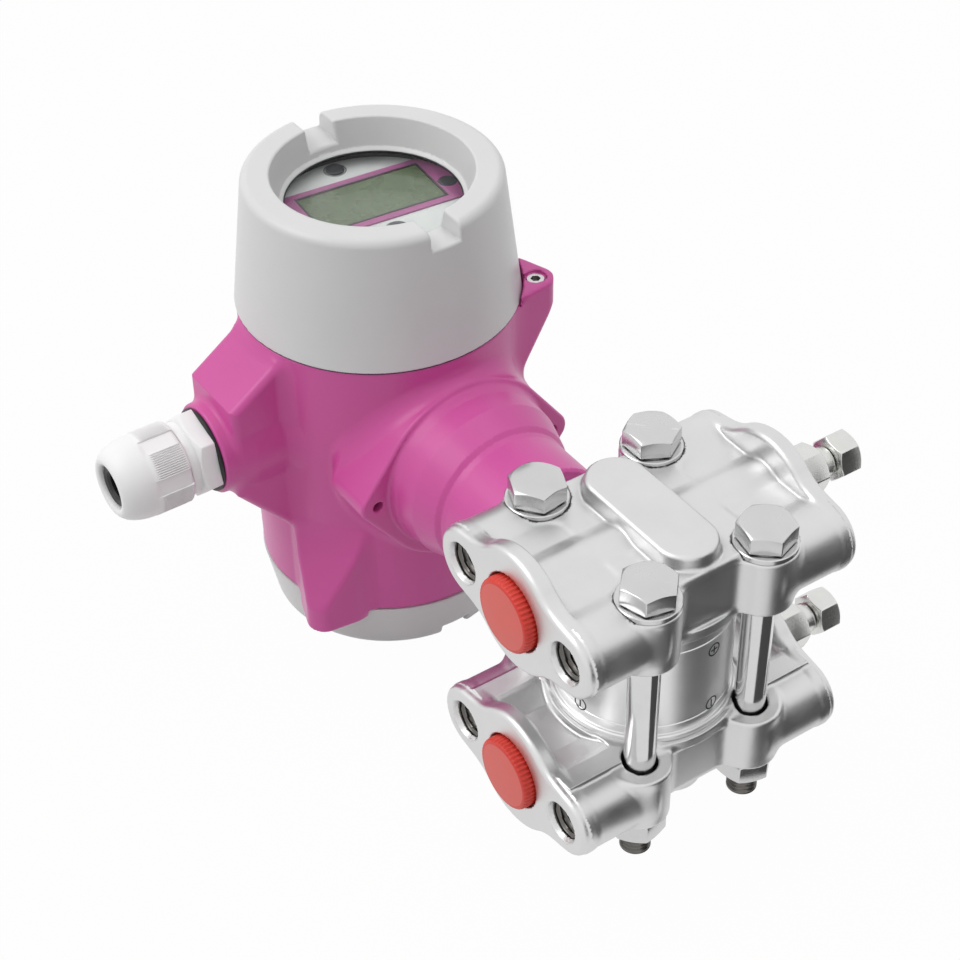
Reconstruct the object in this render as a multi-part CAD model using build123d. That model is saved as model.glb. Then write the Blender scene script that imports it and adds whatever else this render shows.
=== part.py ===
from build123d import *
import math
import os

# Differential pressure transmitter with a display housing, in millimetres.
# The origin is the middle of the four fixing holes in the front end faces of the two
# process flanges. -Y points out of those faces, +X runs from the electronics housing
# to the sensor, and +Z is the housing axis, display side up.

# Fits used in more than one place
THREAD_CLEARANCE = 0.05
SEAL_CLEARANCE = 0.15

# Fixing pattern and outer sizes of the process flanges
HOLE_PITCH_X = 41.3
HOLE_PITCH_Z = 54.0
FLANGE_LENGTH = 80.4
PLATE_THICKNESS = 5.1
PLATE_EDGE_ROUND = 1.6
LOBE_RADIUS = 17.0
TUBE_RADIUS = 9.3
WAIST_FILLET = 7.0
FACET_HEIGHT = 18.0
RIB_WIDTH = 10.2
RIB_RISE = 1.9
HUB_RADIUS = 24.6
HUB_HEIGHT = 3.2
SIDE_WALL_WIDTH = 45.2
LUG_RADIUS = 8.1
LUG_SETBACK = 1.5
LUG_BLEND = 3.5
BOSS_LENGTH = 42.0
BOSS_WIDTH = 16.0
BOSS_RISE = 5.2
BOSS_TAPER = 9.0
BOSS_EDGE_ROUND = 0.7

# Holes in the process flanges
FIXING_BORE = 5.05
BRACKET_BORE = 4.5
FIXING_CHAMFER = 0.4
FIXING_DEPTH = 15.0
PORT_RECESS = 10.1
PORT_RECESS_DEPTH = 3.0
PORT_BORE = 5.75
PORT_BORE_DEPTH = 15.0
VENT_BORE_DEPTH = 13.0
CHANNEL_RADIUS = 2.5
CHANNEL_OFFSET = 7.0
CHAMBER_RADIUS = 15.0
CHAMBER_DEPTH = 0.8

# Clamping bolts through the flanges
BOLT_PITCH_X = 43.5
BOLT_PITCH_Y = 34.8
BOLT_RADIUS = 4.0
BOLT_HOLE_CLEARANCE = 0.6
BOLT_ACROSS_FLATS = 13.0
BOLT_HEAD_HEIGHT = 5.3
BOLT_TURNS = (8.0, 31.0, 47.0, 19.0)
WASHER_RADIUS = 8.0
WASHER_THICKNESS = 1.6
NUT_HEIGHT = 6.5
BOLT_PROTRUSION = 7.6

# Sensor capsule between the flanges
CAPSULE_RADIUS = 22.4
CAPSULE_RIM_RADIUS = 23.4
CAPSULE_RIM_HEIGHT = 1.8
CAPSULE_HEIGHT = 33.6
DIAPHRAGM_RADIUS = 16.5
DIAPHRAGM_THICKNESS = 0.4
DIAPHRAGM_WAVE = 0.4
DIAPHRAGM_SEAT_DEPTH = 1.0
CAPSULE_SEAL_RADIUS = 19.9
CAPSULE_SEAL_SECTION = 1.1

# Vent plugs in the back ends of the ports
VENT_ACROSS_FLATS = 12.0
VENT_BODY_LENGTH = 12.3
VENT_BODY_TURN = 19.0
VENT_SPIGOT_LENGTH = 11.0
VENT_NECK_RADIUS = 4.1
VENT_NECK_LENGTH = 3.9
VENT_STEM_RADIUS = 2.6
VENT_STEM_GAP = 0.3
VENT_CAP_ACROSS_FLATS = 11.0
VENT_CAP_LENGTH = 6.8
VENT_CAP_TURN = 42.0
VENT_STEM_LENGTH = 20.0
VENT_OUTLET_RADIUS = 1.0

# Transport caps in the front ports
CAP_CLEARANCE = 0.4
CAP_PROUD = 2.8
CAP_FLOOR_GAP = 0.3
CAP_STEM_CLEARANCE = 0.3
CAP_STEM_LENGTH = 9.0
CAP_GRIPS = 30
CAP_GRIP_DEPTH = 0.5

# Housing axis and cast body
HOUSING_X = -120.8
BODY_TOP_Z = 33.5
BODY_BOTTOM_Z = -51.6
BODY_TOP_RADIUS = 39.0
BODY_BOTTOM_RADIUS = 37.6
FRONT_NECK_RADIUS = 35.0
FRONT_NECK_HEIGHT = 12.0
REAR_NECK_RADIUS = 33.5
REAR_NECK_HEIGHT = 10.9
FRONT_NECK_WALL = 4.0
FRONT_BAY_FLOOR_Z = 19.0
LOWER_BAY_RADIUS = 24.0
PARTITION_TOP_Z = -17.0
PARTITION_THICKNESS = 4.0
REAR_NECK_WALL = 3.7

# Turnable neck between housing and sensor
NECK_END_X = -42.0
NECK_BORE = 15.05
NECK_COUNTERBORE = 16.8
NECK_COUNTERBORE_X = -79.0
NECK_COLLAR_RADIUS = 20.2
NECK_GROOVE_X = -59.6
NECK_CONE_SMALL_RADIUS = 21.3
NECK_CONE_X = -69.0
NECK_CONE_LARGE_RADIUS = 24.0
NECK_ROOT_RADIUS = 25.2
PAD_FACE_X = -78.2
PAD_RADIUS = 27.8
PAD_DROP = 1.5
PAD_EAR_OFFSET = 28.5
PAD_EAR_RADIUS = 5.0
PAD_EAR_HOLE = 1.6
PAD_EAR_HOLE_DEPTH = 7.0
SECTION_REACH = 200.0

# Stem that carries the housing on the capsule
STEM_HEAD_CLEARANCE = 0.05
STEM_HEAD_START_X = -32.5
STEM_HEAD_END_X = -84.0
STEM_WAIST_RADIUS = 12.6
STEM_BORE = 6.0
STEM_RING_WIDTH = 1.4
STEM_RING_RADIUS = 16.5
STEM_RING_DEPTH = 1.2
STEM_RING_GAP = 9.0
STEM_SEAL_X = -48.0
STEM_SEAL_SECTION = 1.0
NECK_SCREW_X = -54.0
NECK_SCREW_RADIUS = 2.5
NECK_SCREW_ACROSS_FLATS = 2.5
NECK_SCREW_SET = 0.6
NECK_SCREW_GROOVE = 1.5

# Cable entry
ENTRY_Z = 3.7
ENTRY_NOSE_RADIUS = 12.9
ENTRY_NOSE_ROOT_RADIUS = 13.8
ENTRY_NOSE_Y = -17.2
ENTRY_NOSE_ROOT_Y = -8.0
ENTRY_BLOCK_Y = -13.5
ENTRY_BLOCK_WIDTH = 24.0
ENTRY_BLOCK_TOP_Z = 20.8
ENTRY_SLOPE_TOP_Z = 31.0
ENTRY_BLOCK_LOW_Z = -8.0
ENTRY_SLOPE_LOW_Z = -25.0
ENTRY_BLOCK_INNER_Y = 20.0
ENTRY_BORE = 9.2
ENTRY_BORE_LENGTH = 29.2
WIREWAY_WIDTH = 16.0
WIREWAY_INNER = 26.0
WIREWAY_OUTER = 34.0

# Cover locks
LOCK_ANGLE = 57.9
LOCK_RADIAL = 43.2
LOCK_LUG_RADIUS = 5.2
LOCK_LUG_RISE = 2.6
LOCK_LUG_FACE = 8.0
LOCK_FRONT_TIP_Z = 6.0
LOCK_REAR_TIP_Z = -20.0
LOCK_SCREW_RADIUS = 2.4
LOCK_SCREW_LENGTH = 12.0
LOCK_SCREW_ACROSS_FLATS = 2.5
LOCK_SCREW_SET = 0.8
COVER_SWEEP_GAP = 0.4

# Display cover
SEAM_GAP = 0.3
COVER_SKIRT_RADIUS = 39.4
COVER_TOP_Z = 71.7
COVER_TOP_RADIUS = 34.9
COVER_EDGE_ROUND = 2.0
COVER_WELL_RADIUS = 27.1
COVER_WELL_FLOOR_RADIUS = 26.2
COVER_WELL_FLOOR_Z = 65.6
WINDOW_OPENING = 24.0
WINDOW_TOP_Z = 62.4
WINDOW_LIP = 0.6
WINDOW_RADIUS = 30.0
WINDOW_THICKNESS = 5.0
WINDOW_CLEARANCE = 0.1
RETAINER_INNER = 28.0
RETAINER_THICKNESS = 1.5
COVER_POCKET_DEPTH = 8.0
COVER_CAVITY_RADIUS = 33.0
COVER_THREAD_RELIEF = 1.0
SLOT_WIDTH = 8.6
SLOT_INNER_Z = 65.8
SLOT_OUTER_Z = 67.2
COVER_SEAL_SECTION = 0.9
COVER_SEAL_OFFSET = 2.0

# Terminal cover
REAR_SKIRT_RADIUS = 37.9
REAR_COVER_BOTTOM_Z = -68.4
REAR_CORNER_RADIUS = 34.6
REAR_RIM_INNER = 27.6
REAR_WELL_DEPTH = 4.6
REAR_SLOT_DEPTH = 3.6
REAR_PLATE_THICKNESS = 3.4
REAR_PLUG_CLEARANCE = 0.6
REAR_THREAD_RELIEF = 0.5

# Display unit
DISPLAY_TOP_Z = 56.9
DISPLAY_BEZEL_THICKNESS = 0.5
DISPLAY_PLATE_THICKNESS = 1.2
DISPLAY_PLATE_RADIUS = 27.4
DISPLAY_FRAME_RADIUS = 28.6
DISPLAY_TURN = -5.0
BEZEL_WIDTH = 23.0
BEZEL_OFFSET_X = -5.6
LCD_WIDTH = 17.6
LCD_LENGTH = 36.0
LCD_OFFSET_Y = 2.0
LCD_DEPTH = 3.2
LCD_SET = 0.2
LCD_CLEARANCE = 0.05
BUTTON_RADIUS = 2.6
BUTTON_PROUD = 0.2
BUTTON_HEIGHT = 5.0
BUTTON_TRAVEL = 0.8
BUTTON_CLEARANCE = 0.08
BUTTON_PLACES = {
    "button_zero": (10.6, 0.6),
    "button_span": (-23.4, 2.0),
    "button_enter": (-0.5, 23.8),
}

# Electronics and terminals
MODULE_CLEARANCE = 1.4
MODULE_RISE = 0.4
MODULE_CORE_RADIUS = 23.2
MODULE_CORE_DEPTH = 16.0
TERMINAL_LENGTH = 38.0
TERMINAL_WIDTH = 15.0
TERMINAL_HEIGHT = 12.0
TERMINAL_OFFSET_Y = 6.0
TERMINAL_PITCH = 9.0
TERMINAL_COUNT = 4
TERMINAL_WELL_RADIUS = 3.0
TERMINAL_WELL_DEPTH = 2.6
TERMINAL_WIRE_HOLE = 2.2
TERMINAL_SCREW_RADIUS = 2.7
TERMINAL_SCREW_HEAD = 2.0
TERMINAL_SCREW_SHANK = 1.5
TERMINAL_SCREW_LENGTH = 6.0
EARTH_SCREW_RADIUS = 3.6
EARTH_SCREW_HEAD = 2.6
EARTH_SCREW_SHANK = 1.9
EARTH_SCREW_LENGTH = 3.4
EARTH_BOSS_RADIUS = 5.5
EARTH_BOSS_RISE = 1.6
EARTH_BOSS_Z = -8.0
EARTH_INSIDE_X = 17.0
EARTH_INSIDE_Y = -13.0

# Cable gland
GLAND_RING_RADIUS = 12.0
GLAND_RING_THICKNESS = 1.0
GLAND_ACROSS_FLATS = 22.0
GLAND_HEX_TURN = 13.0
GLAND_HEX_LENGTH = 5.2
GLAND_THREAD_LENGTH = 9.0
GLAND_COLLAR_RADIUS = 10.4
GLAND_COLLAR_LENGTH = 2.4
GLAND_SPIGOT_RADIUS = 9.2
GLAND_SPIGOT_LENGTH = 8.0
GLAND_BODY_BORE = 6.9
GLAND_NUT_RADIUS = 11.9
GLAND_NUT_GAP = 0.3
GLAND_GRIP_LENGTH = 10.2
GLAND_FLAT_DEPTH = 0.7
GLAND_FLAT_ANGLE = 24.0
GLAND_RIBS_PER_SECTOR = 6
GLAND_DOME_LENGTH = 9.6
GLAND_DOME_START = 11.5
GLAND_DOME_MIDDLE = 10.9
GLAND_DOME_END = 8.0
GLAND_NUT_MOUTH = 6.3
GLAND_NUT_LIP = 3.3
GLAND_INSERT_BORE = 3.6
GLAND_INSERT_CLEARANCE = 0.3
GLAND_INSERT_START = 5.0
GLAND_INSERT_SET = 0.8

# Sizes that follow from the values above
MID_Y = FLANGE_LENGTH / 2
PORT_Z = HOLE_PITCH_Z / 2
TUBE_X = HOLE_PITCH_X / 2
JOINT_Z = CAPSULE_HEIGHT / 2
FACET_Z = JOINT_Z + FACET_HEIGHT
BOLT_HOLE_RADIUS = BOLT_RADIUS + BOLT_HOLE_CLEARANCE
FRONT_NECK_TOP_Z = BODY_TOP_Z + FRONT_NECK_HEIGHT
REAR_NECK_BOTTOM_Z = BODY_BOTTOM_Z - REAR_NECK_HEIGHT
PARTITION_BOTTOM_Z = PARTITION_TOP_Z - PARTITION_THICKNESS
WINDOW_BOTTOM_Z = WINDOW_TOP_Z - WINDOW_THICKNESS
FRONT_BAY_RADIUS = FRONT_NECK_RADIUS - FRONT_NECK_WALL
REAR_BAY_RADIUS = REAR_NECK_RADIUS - REAR_NECK_WALL
MODULE_RADIUS = FRONT_BAY_RADIUS - MODULE_CLEARANCE
MODULE_TOP_Z = FRONT_NECK_TOP_Z + MODULE_RISE
PLATE_TOP_Z = DISPLAY_TOP_Z - DISPLAY_BEZEL_THICKNESS
FRAME_TOP_Z = PLATE_TOP_Z - DISPLAY_PLATE_THICKNESS
SEAM_TOP_Z = BODY_TOP_Z + SEAM_GAP
SEAM_BOTTOM_Z = BODY_BOTTOM_Z - SEAM_GAP
STEM_HEAD_RADIUS = NECK_BORE - STEM_HEAD_CLEARANCE
REAR_THREAD_RADIUS = REAR_NECK_RADIUS + THREAD_CLEARANCE
SEAL_GROOVE_WIDTH = 2 * (COVER_SEAL_SECTION + SEAL_CLEARANCE)
EARTH_BOSS_X = HOUSING_X - BODY_TOP_RADIUS - EARTH_BOSS_RISE
GLAND_FACE_Y = ENTRY_NOSE_Y - GLAND_RING_THICKNESS
GLAND_NUT_Y = GLAND_FACE_Y - GLAND_HEX_LENGTH - GLAND_COLLAR_LENGTH - GLAND_NUT_GAP
GLAND_NUT_LENGTH = GLAND_GRIP_LENGTH + GLAND_DOME_LENGTH
ALONG_X = Axis((0, MID_Y, 0), (1, 0, 0))


# Shared shapes


def rod_x(radius, y, z, start, end):
    """Round bar along X from start to end."""
    return Pos((start + end) / 2, y, z) * Rot(0, 90, 0) * Cylinder(radius, abs(end - start))


def rod_y(radius, x, z, start, end):
    """Round bar along Y from start to end."""
    return Pos(x, (start + end) / 2, z) * Rot(90, 0, 0) * Cylinder(radius, abs(end - start))


def rod_z(radius, x, y, start, end):
    """Round bar along Z from start to end."""
    return Pos(x, y, (start + end) / 2) * Cylinder(radius, abs(end - start))


def turned_about_z(points):
    """Solid turned about Z from (radius, z) points."""
    outline = Polyline(*[(r, 0, z) for r, z in points], close=True)
    return revolve(make_face(outline), axis=Axis.Z)


def turned_about_housing(points):
    """Solid turned about the housing axis from (radius, z) points."""
    return Pos(HOUSING_X, MID_Y, 0) * turned_about_z(points)


def turned_about_neck(points):
    """Solid turned about the neck axis from (x, radius) points."""
    outline = Polyline(*[(x, MID_Y, r) for x, r in points], close=True)
    return revolve(make_face(outline), axis=ALONG_X)


def hexagon_radius(across_flats):
    """Corner radius of a hexagon of this width across its flats."""
    return across_flats / math.sqrt(3)


def hex_prism(across_flats, height):
    """Hexagonal prism whose corners are turned off at the top."""
    corner = hexagon_radius(across_flats)
    flat = across_flats / 2 * 0.95
    drop = (corner - flat) * math.tan(math.radians(30))
    blank = turned_about_z([(0, 0), (corner, 0), (corner, height - drop), (flat, height), (0, height)])
    return extrude(RegularPolygon(corner, 6), amount=height) & blank


def hex_socket(across_flats, depth):
    """Hexagonal hole that reaches this deep below z zero."""
    return extrude(RegularPolygon(hexagon_radius(across_flats), 6), amount=-depth)


def bolt_places():
    """Centres of the four clamping bolts."""
    return [
        (side_x * BOLT_PITCH_X / 2, MID_Y + side_y * BOLT_PITCH_Y / 2)
        for side_x in (-1, 1)
        for side_y in (-1, 1)
    ]


# Process flanges


def end_plate(y):
    """Three-lobed end plate that starts at y."""
    outline = Circle(LOBE_RADIUS)
    for side in (-1, 1):
        outline += Pos(side * TUBE_X, 0) * Circle(TUBE_RADIUS)
    waists = [v for v in outline.vertices() if abs(v.X) < LOBE_RADIUS - 0.5]
    outline = fillet(waists, WAIST_FILLET)
    face = Plane(origin=(0, y, PORT_Z), x_dir=(1, 0, 0), z_dir=(0, -1, 0))
    return extrude(face * outline, amount=-PLATE_THICKNESS)


def flange_core():
    """Casting between the end plates: two tubes, flat facets and a shallow rib."""
    rib_radius = ((RIB_WIDTH / 2) ** 2 + RIB_RISE**2) / (2 * RIB_RISE)
    section = Pos(0, JOINT_Z + FACET_HEIGHT / 2) * Rectangle(HOLE_PITCH_X, FACET_HEIGHT)
    section += Pos(0, FACET_Z + RIB_RISE - rib_radius) * Circle(rib_radius)
    for side in (-1, 1):
        section += Pos(side * TUBE_X, PORT_Z) * Circle(TUBE_RADIUS)
    start = PLATE_THICKNESS / 2
    face = Plane(origin=(0, start, 0), x_dir=(1, 0, 0), z_dir=(0, -1, 0))
    core = extrude(face * section, amount=2 * start - FLANGE_LENGTH)
    for side in (-1, 1):
        recess = Box(TUBE_RADIUS * 2, BOLT_PITCH_Y, FLANGE_LENGTH)
        core -= Pos(side * (SIDE_WALL_WIDTH / 2 + TUBE_RADIUS), MID_Y, PORT_Z) * recess
    return core


def bolt_lugs():
    """Four upright lugs and the walls that join them along each side."""
    outline = Rectangle(SIDE_WALL_WIDTH, BOLT_PITCH_Y)
    for x, y in bolt_places():
        outline += Pos(x, y - MID_Y) * Circle(LUG_RADIUS)
    corners = [
        v
        for v in outline.vertices()
        if abs(v.Y) < BOLT_PITCH_Y / 2 - 1 and abs(v.X) > SIDE_WALL_WIDTH / 2 - 0.1
    ]
    outline = fillet(corners, LUG_BLEND)
    base = Pos(0, MID_Y, JOINT_Z + LUG_SETBACK) * outline
    return extrude(base, amount=FACET_HEIGHT - LUG_SETBACK)


def top_boss():
    """Raised stadium-shaped boss across the top of the casting."""
    spread = 2 * BOSS_RISE * math.tan(math.radians(BOSS_TAPER))
    base = Pos(0, MID_Y, FACET_Z) * SlotOverall(BOSS_LENGTH + spread, BOSS_WIDTH + spread)
    boss = extrude(base, amount=BOSS_RISE, taper=BOSS_TAPER)
    rim = boss.faces().sort_by(Axis.Z)[-1].edges()
    return fillet(rim, BOSS_EDGE_ROUND)


def fixing_holes():
    """Chamfered fixing holes, wide ones in the front face and bracket holes in the back."""
    cuts = []
    for side in (-1, 1):
        x = side * TUBE_X
        for radius, face, inward in ((FIXING_BORE, 0, 1), (BRACKET_BORE, FLANGE_LENGTH, -1)):
            cuts.append(rod_y(radius, x, PORT_Z, face - inward, face + inward * FIXING_DEPTH))
            mouth = Cone(radius + 2 * FIXING_CHAMFER, radius, 2 * FIXING_CHAMFER)
            cuts.append(Pos(x, face, PORT_Z) * Rot(-90 * inward, 0, 0) * mouth)
    return cuts


def pressure_passages():
    """Port, vent bore and the drilled channels from both to the capsule."""
    cuts = [
        rod_y(PORT_RECESS, 0, PORT_Z, -1, PORT_RECESS_DEPTH),
        rod_y(PORT_BORE, 0, PORT_Z, -1, PORT_BORE_DEPTH),
        rod_y(PORT_BORE, 0, PORT_Z, FLANGE_LENGTH + 1, FLANGE_LENGTH - VENT_BORE_DEPTH),
        rod_z(CHAMBER_RADIUS, 0, MID_Y, 0, JOINT_Z + CHAMBER_DEPTH),
    ]
    for end, start in ((MID_Y - CHANNEL_OFFSET, 1), (MID_Y + CHANNEL_OFFSET, FLANGE_LENGTH - 1)):
        cuts.append(rod_y(CHANNEL_RADIUS, 0, PORT_Z, start, end))
        cuts.append(rod_z(CHANNEL_RADIUS, 0, end, 0, PORT_Z))
    return cuts


def seal_groove():
    """Groove for the capsule seal in the underside of the upper flange."""
    width = CAPSULE_SEAL_SECTION + SEAL_CLEARANCE
    groove = Cylinder(CAPSULE_SEAL_RADIUS + width, 2 * CAPSULE_SEAL_SECTION)
    groove -= Cylinder(CAPSULE_SEAL_RADIUS - width, 4 * CAPSULE_SEAL_SECTION)
    return Pos(0, MID_Y, JOINT_Z + CAPSULE_SEAL_SECTION) * groove


def process_flange():
    """Upper flange, cast in one piece and machined."""
    front = end_plate(0)
    front = fillet(front.faces().sort_by(Axis.Y)[0].edges(), PLATE_EDGE_ROUND)
    back = end_plate(FLANGE_LENGTH - PLATE_THICKNESS)
    back = fillet(back.faces().sort_by(Axis.Y)[-1].edges(), PLATE_EDGE_ROUND)
    hub = rod_z(HUB_RADIUS, 0, MID_Y, JOINT_Z, JOINT_Z + HUB_HEIGHT)
    casting = flange_core() + bolt_lugs() + hub + top_boss() + front + back
    for cut in fixing_holes() + pressure_passages() + [seal_groove()]:
        casting -= cut
    for x, y in bolt_places():
        casting -= rod_z(BOLT_HOLE_RADIUS, x, y, 0, FACET_Z)
        casting -= rod_z(WASHER_RADIUS + THREAD_CLEARANCE, x, y, FACET_Z, FACET_Z + TUBE_RADIUS)
    return casting


# Bolts, washers and nuts


def clamping_bolts():
    """Four hexagon bolts from above the upper flange to below the lower nuts."""
    under_head = FACET_Z + WASHER_THICKNESS
    end = -FACET_Z - NUT_HEIGHT - BOLT_PROTRUSION
    shank = rod_z(BOLT_RADIUS, 0, 0, end, under_head)
    shank = chamfer(shank.edges().sort_by(Axis.Z)[0], 0.8)
    head = hex_prism(BOLT_ACROSS_FLATS, BOLT_HEAD_HEIGHT)
    bolts = []
    for (x, y), turn in zip(bolt_places(), BOLT_TURNS):
        bolts.append(Pos(x, y, 0) * (shank + Pos(0, 0, under_head) * Rot(0, 0, turn) * head))
    return Compound(bolts)


def bolt_washers():
    """Four plain washers under the bolt heads."""
    washer = Cylinder(WASHER_RADIUS, WASHER_THICKNESS)
    washer = chamfer(washer.edges().sort_by(Axis.Z)[-1], 0.3)
    washer -= Cylinder(BOLT_HOLE_RADIUS, 2 * WASHER_THICKNESS)
    z = FACET_Z + WASHER_THICKNESS / 2
    return Compound([Pos(x, y, z) * washer for x, y in bolt_places()])


def bolt_nuts():
    """Four hexagon nuts under the lower flange."""
    nut = hex_prism(BOLT_ACROSS_FLATS, NUT_HEIGHT)
    nut -= Cylinder(BOLT_RADIUS + THREAD_CLEARANCE, 4 * NUT_HEIGHT)
    nuts = []
    for (x, y), turn in zip(bolt_places(), BOLT_TURNS):
        nuts.append(Pos(x, y, -FACET_Z) * Rot(180, 0, turn) * nut)
    return Compound(nuts)


# Sensor capsule and stem


def sensor_capsule():
    """Turned measuring cell with a rim and a diaphragm seat on each face."""
    body = Cylinder(CAPSULE_RADIUS, CAPSULE_HEIGHT)
    for side in (-1, 1):
        rim_z = side * (JOINT_Z - CAPSULE_RIM_HEIGHT / 2)
        body += Pos(0, 0, rim_z) * Cylinder(CAPSULE_RIM_RADIUS, CAPSULE_RIM_HEIGHT)
    for side in (-1, 1):
        seat_z = side * (JOINT_Z - DIAPHRAGM_SEAT_DEPTH / 2)
        body -= Pos(0, 0, seat_z) * Cylinder(DIAPHRAGM_RADIUS + THREAD_CLEARANCE, DIAPHRAGM_SEAT_DEPTH)
        bowl_z = side * (JOINT_Z - DIAPHRAGM_SEAT_DEPTH - DIAPHRAGM_WAVE / 2)
        body -= Pos(0, 0, bowl_z) * Cylinder(DIAPHRAGM_RADIUS * 0.9, DIAPHRAGM_WAVE)
    body -= Pos(-CAPSULE_RADIUS, 0, 0) * Rot(0, 90, 0) * Cylinder(STEM_BORE, CAPSULE_RADIUS)
    return Pos(0, MID_Y, 0) * body


def diaphragm(side):
    """Corrugated isolating diaphragm in its seat."""
    edge = DIAPHRAGM_RADIUS
    lower = [
        (edge, 0),
        (edge * 0.82, 0),
        (edge * 0.72, DIAPHRAGM_WAVE),
        (edge * 0.62, 0),
        (edge * 0.52, DIAPHRAGM_WAVE),
        (edge * 0.42, 0),
        (0, 0),
    ]
    upper = [(r, z + DIAPHRAGM_THICKNESS) for r, z in reversed(lower)]
    disc = Pos(0, MID_Y, JOINT_Z - DIAPHRAGM_SEAT_DEPTH) * turned_about_z(lower + upper)
    return disc if side > 0 else disc.rotate(ALONG_X, 180)


def capsule_seal(side):
    """Seal ring between the capsule face and its flange."""
    z = side * (JOINT_Z + CAPSULE_SEAL_SECTION)
    return Pos(0, MID_Y, z) * Torus(CAPSULE_SEAL_RADIUS, CAPSULE_SEAL_SECTION)


def stem_groove(start, end, depth):
    """Groove round the stem head between two places along X."""
    band = rod_x(NECK_BORE + 1, MID_Y, 0, start, end)
    return band - rod_x(STEM_HEAD_RADIUS - depth, MID_Y, 0, start, end)


def sensor_stem():
    """Tube welded to the capsule, which enters the housing neck."""
    stem = turned_about_neck(
        [
            (-CAPSULE_RADIUS / 2, 0),
            (-CAPSULE_RADIUS / 2, STEM_WAIST_RADIUS),
            (STEM_HEAD_START_X + 2, STEM_WAIST_RADIUS),
            (STEM_HEAD_START_X, STEM_HEAD_RADIUS),
            (STEM_HEAD_END_X, STEM_HEAD_RADIUS),
            (STEM_HEAD_END_X, 0),
        ]
    )
    stem -= Pos(0, MID_Y, 0) * Cylinder(CAPSULE_RADIUS, CAPSULE_HEIGHT)
    stem -= rod_x(STEM_BORE, MID_Y, 0, STEM_HEAD_END_X - 1, 0)
    ring_end = NECK_COUNTERBORE_X - STEM_RING_WIDTH - SEAL_CLEARANCE
    stem -= stem_groove(ring_end, NECK_COUNTERBORE_X, STEM_RING_DEPTH)
    half = STEM_SEAL_SECTION + SEAL_CLEARANCE
    stem -= stem_groove(STEM_SEAL_X - half, STEM_SEAL_X + half, 2 * STEM_SEAL_SECTION)
    half = NECK_SCREW_RADIUS + SEAL_CLEARANCE
    stem -= stem_groove(NECK_SCREW_X - half, NECK_SCREW_X + half, NECK_SCREW_GROOVE)
    return stem


def stem_seal():
    """Seal ring in the stem groove, inside the neck bore."""
    face = Plane(origin=(STEM_SEAL_X, MID_Y, 0), z_dir=(1, 0, 0))
    return face * Torus(STEM_HEAD_RADIUS - STEM_SEAL_SECTION, STEM_SEAL_SECTION)


def stem_retaining_ring():
    """Split ring behind the neck that keeps the stem from being pulled out."""
    start = NECK_COUNTERBORE_X - SEAL_CLEARANCE / 2
    end = start - STEM_RING_WIDTH
    band = rod_x(STEM_RING_RADIUS, MID_Y, 0, start, end)
    band -= rod_x(STEM_HEAD_RADIUS - STEM_RING_DEPTH, MID_Y, 0, start + 1, end - 1)
    return band - Pos(start, MID_Y, STEM_RING_RADIUS) * Box(4 * STEM_RING_WIDTH, STEM_RING_GAP, STEM_RING_RADIUS)


def neck_set_screw():
    """Grub screw under the neck that locks the housing on the stem."""
    start = -NECK_COLLAR_RADIUS + NECK_SCREW_SET
    end = NECK_SCREW_GROOVE - STEM_HEAD_RADIUS
    screw = rod_z(NECK_SCREW_RADIUS - THREAD_CLEARANCE, NECK_SCREW_X, MID_Y, start, end)
    socket = hex_socket(NECK_SCREW_ACROSS_FLATS, NECK_SCREW_RADIUS)
    return screw - Pos(NECK_SCREW_X, MID_Y, start) * Rot(180, 0, 0) * socket


# Vents and port caps


def vent_plug(z):
    """Hexagon vent body screwed into the back of a port."""
    start = FLANGE_LENGTH
    neck_end = start + VENT_BODY_LENGTH + VENT_NECK_LENGTH
    hexagon = Rot(0, 0, VENT_BODY_TURN) * hex_prism(VENT_ACROSS_FLATS, VENT_BODY_LENGTH)
    body = Pos(0, start, z) * Rot(-90, 0, 0) * hexagon
    body += rod_y(PORT_BORE - THREAD_CLEARANCE, 0, z, start - VENT_SPIGOT_LENGTH, start)
    body += rod_y(VENT_NECK_RADIUS, 0, z, start, neck_end)
    stem_end = neck_end + VENT_STEM_GAP - VENT_STEM_LENGTH
    body -= rod_y(VENT_STEM_RADIUS + THREAD_CLEARANCE, 0, z, stem_end - 1, neck_end + 1)
    return body - rod_y(VENT_OUTLET_RADIUS, 0, z, start - VENT_SPIGOT_LENGTH - 1, neck_end)


def vent_stem(z):
    """Hexagon-headed needle screwed into the vent body."""
    start = FLANGE_LENGTH + VENT_BODY_LENGTH + VENT_NECK_LENGTH + VENT_STEM_GAP
    hexagon = Rot(0, 0, VENT_CAP_TURN) * hex_prism(VENT_CAP_ACROSS_FLATS, VENT_CAP_LENGTH)
    stem = Pos(0, start, z) * Rot(-90, 0, 0) * hexagon
    return stem + rod_y(VENT_STEM_RADIUS, 0, z, start - VENT_STEM_LENGTH, start)


def port_cap(z):
    """Serrated transport cap pushed into a front port."""
    radius = PORT_RECESS - CAP_CLEARANCE
    points = []
    for step in range(2 * CAP_GRIPS):
        angle = math.pi * (step + 0.5) / CAP_GRIPS
        reach = radius if step % 2 else radius - CAP_GRIP_DEPTH
        points.append((reach * math.cos(angle), reach * math.sin(angle)))
    outline = make_face(Polyline(*points, close=True))
    height = CAP_PROUD + PORT_RECESS_DEPTH - CAP_FLOOR_GAP
    disc = Pos(0, -CAP_PROUD, z) * Rot(-90, 0, 0) * extrude(outline, amount=height)
    stem_radius = PORT_BORE - CAP_STEM_CLEARANCE
    return disc + rod_y(stem_radius, 0, z, 0, PORT_RECESS_DEPTH + CAP_STEM_LENGTH)


# Housing casting


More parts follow.
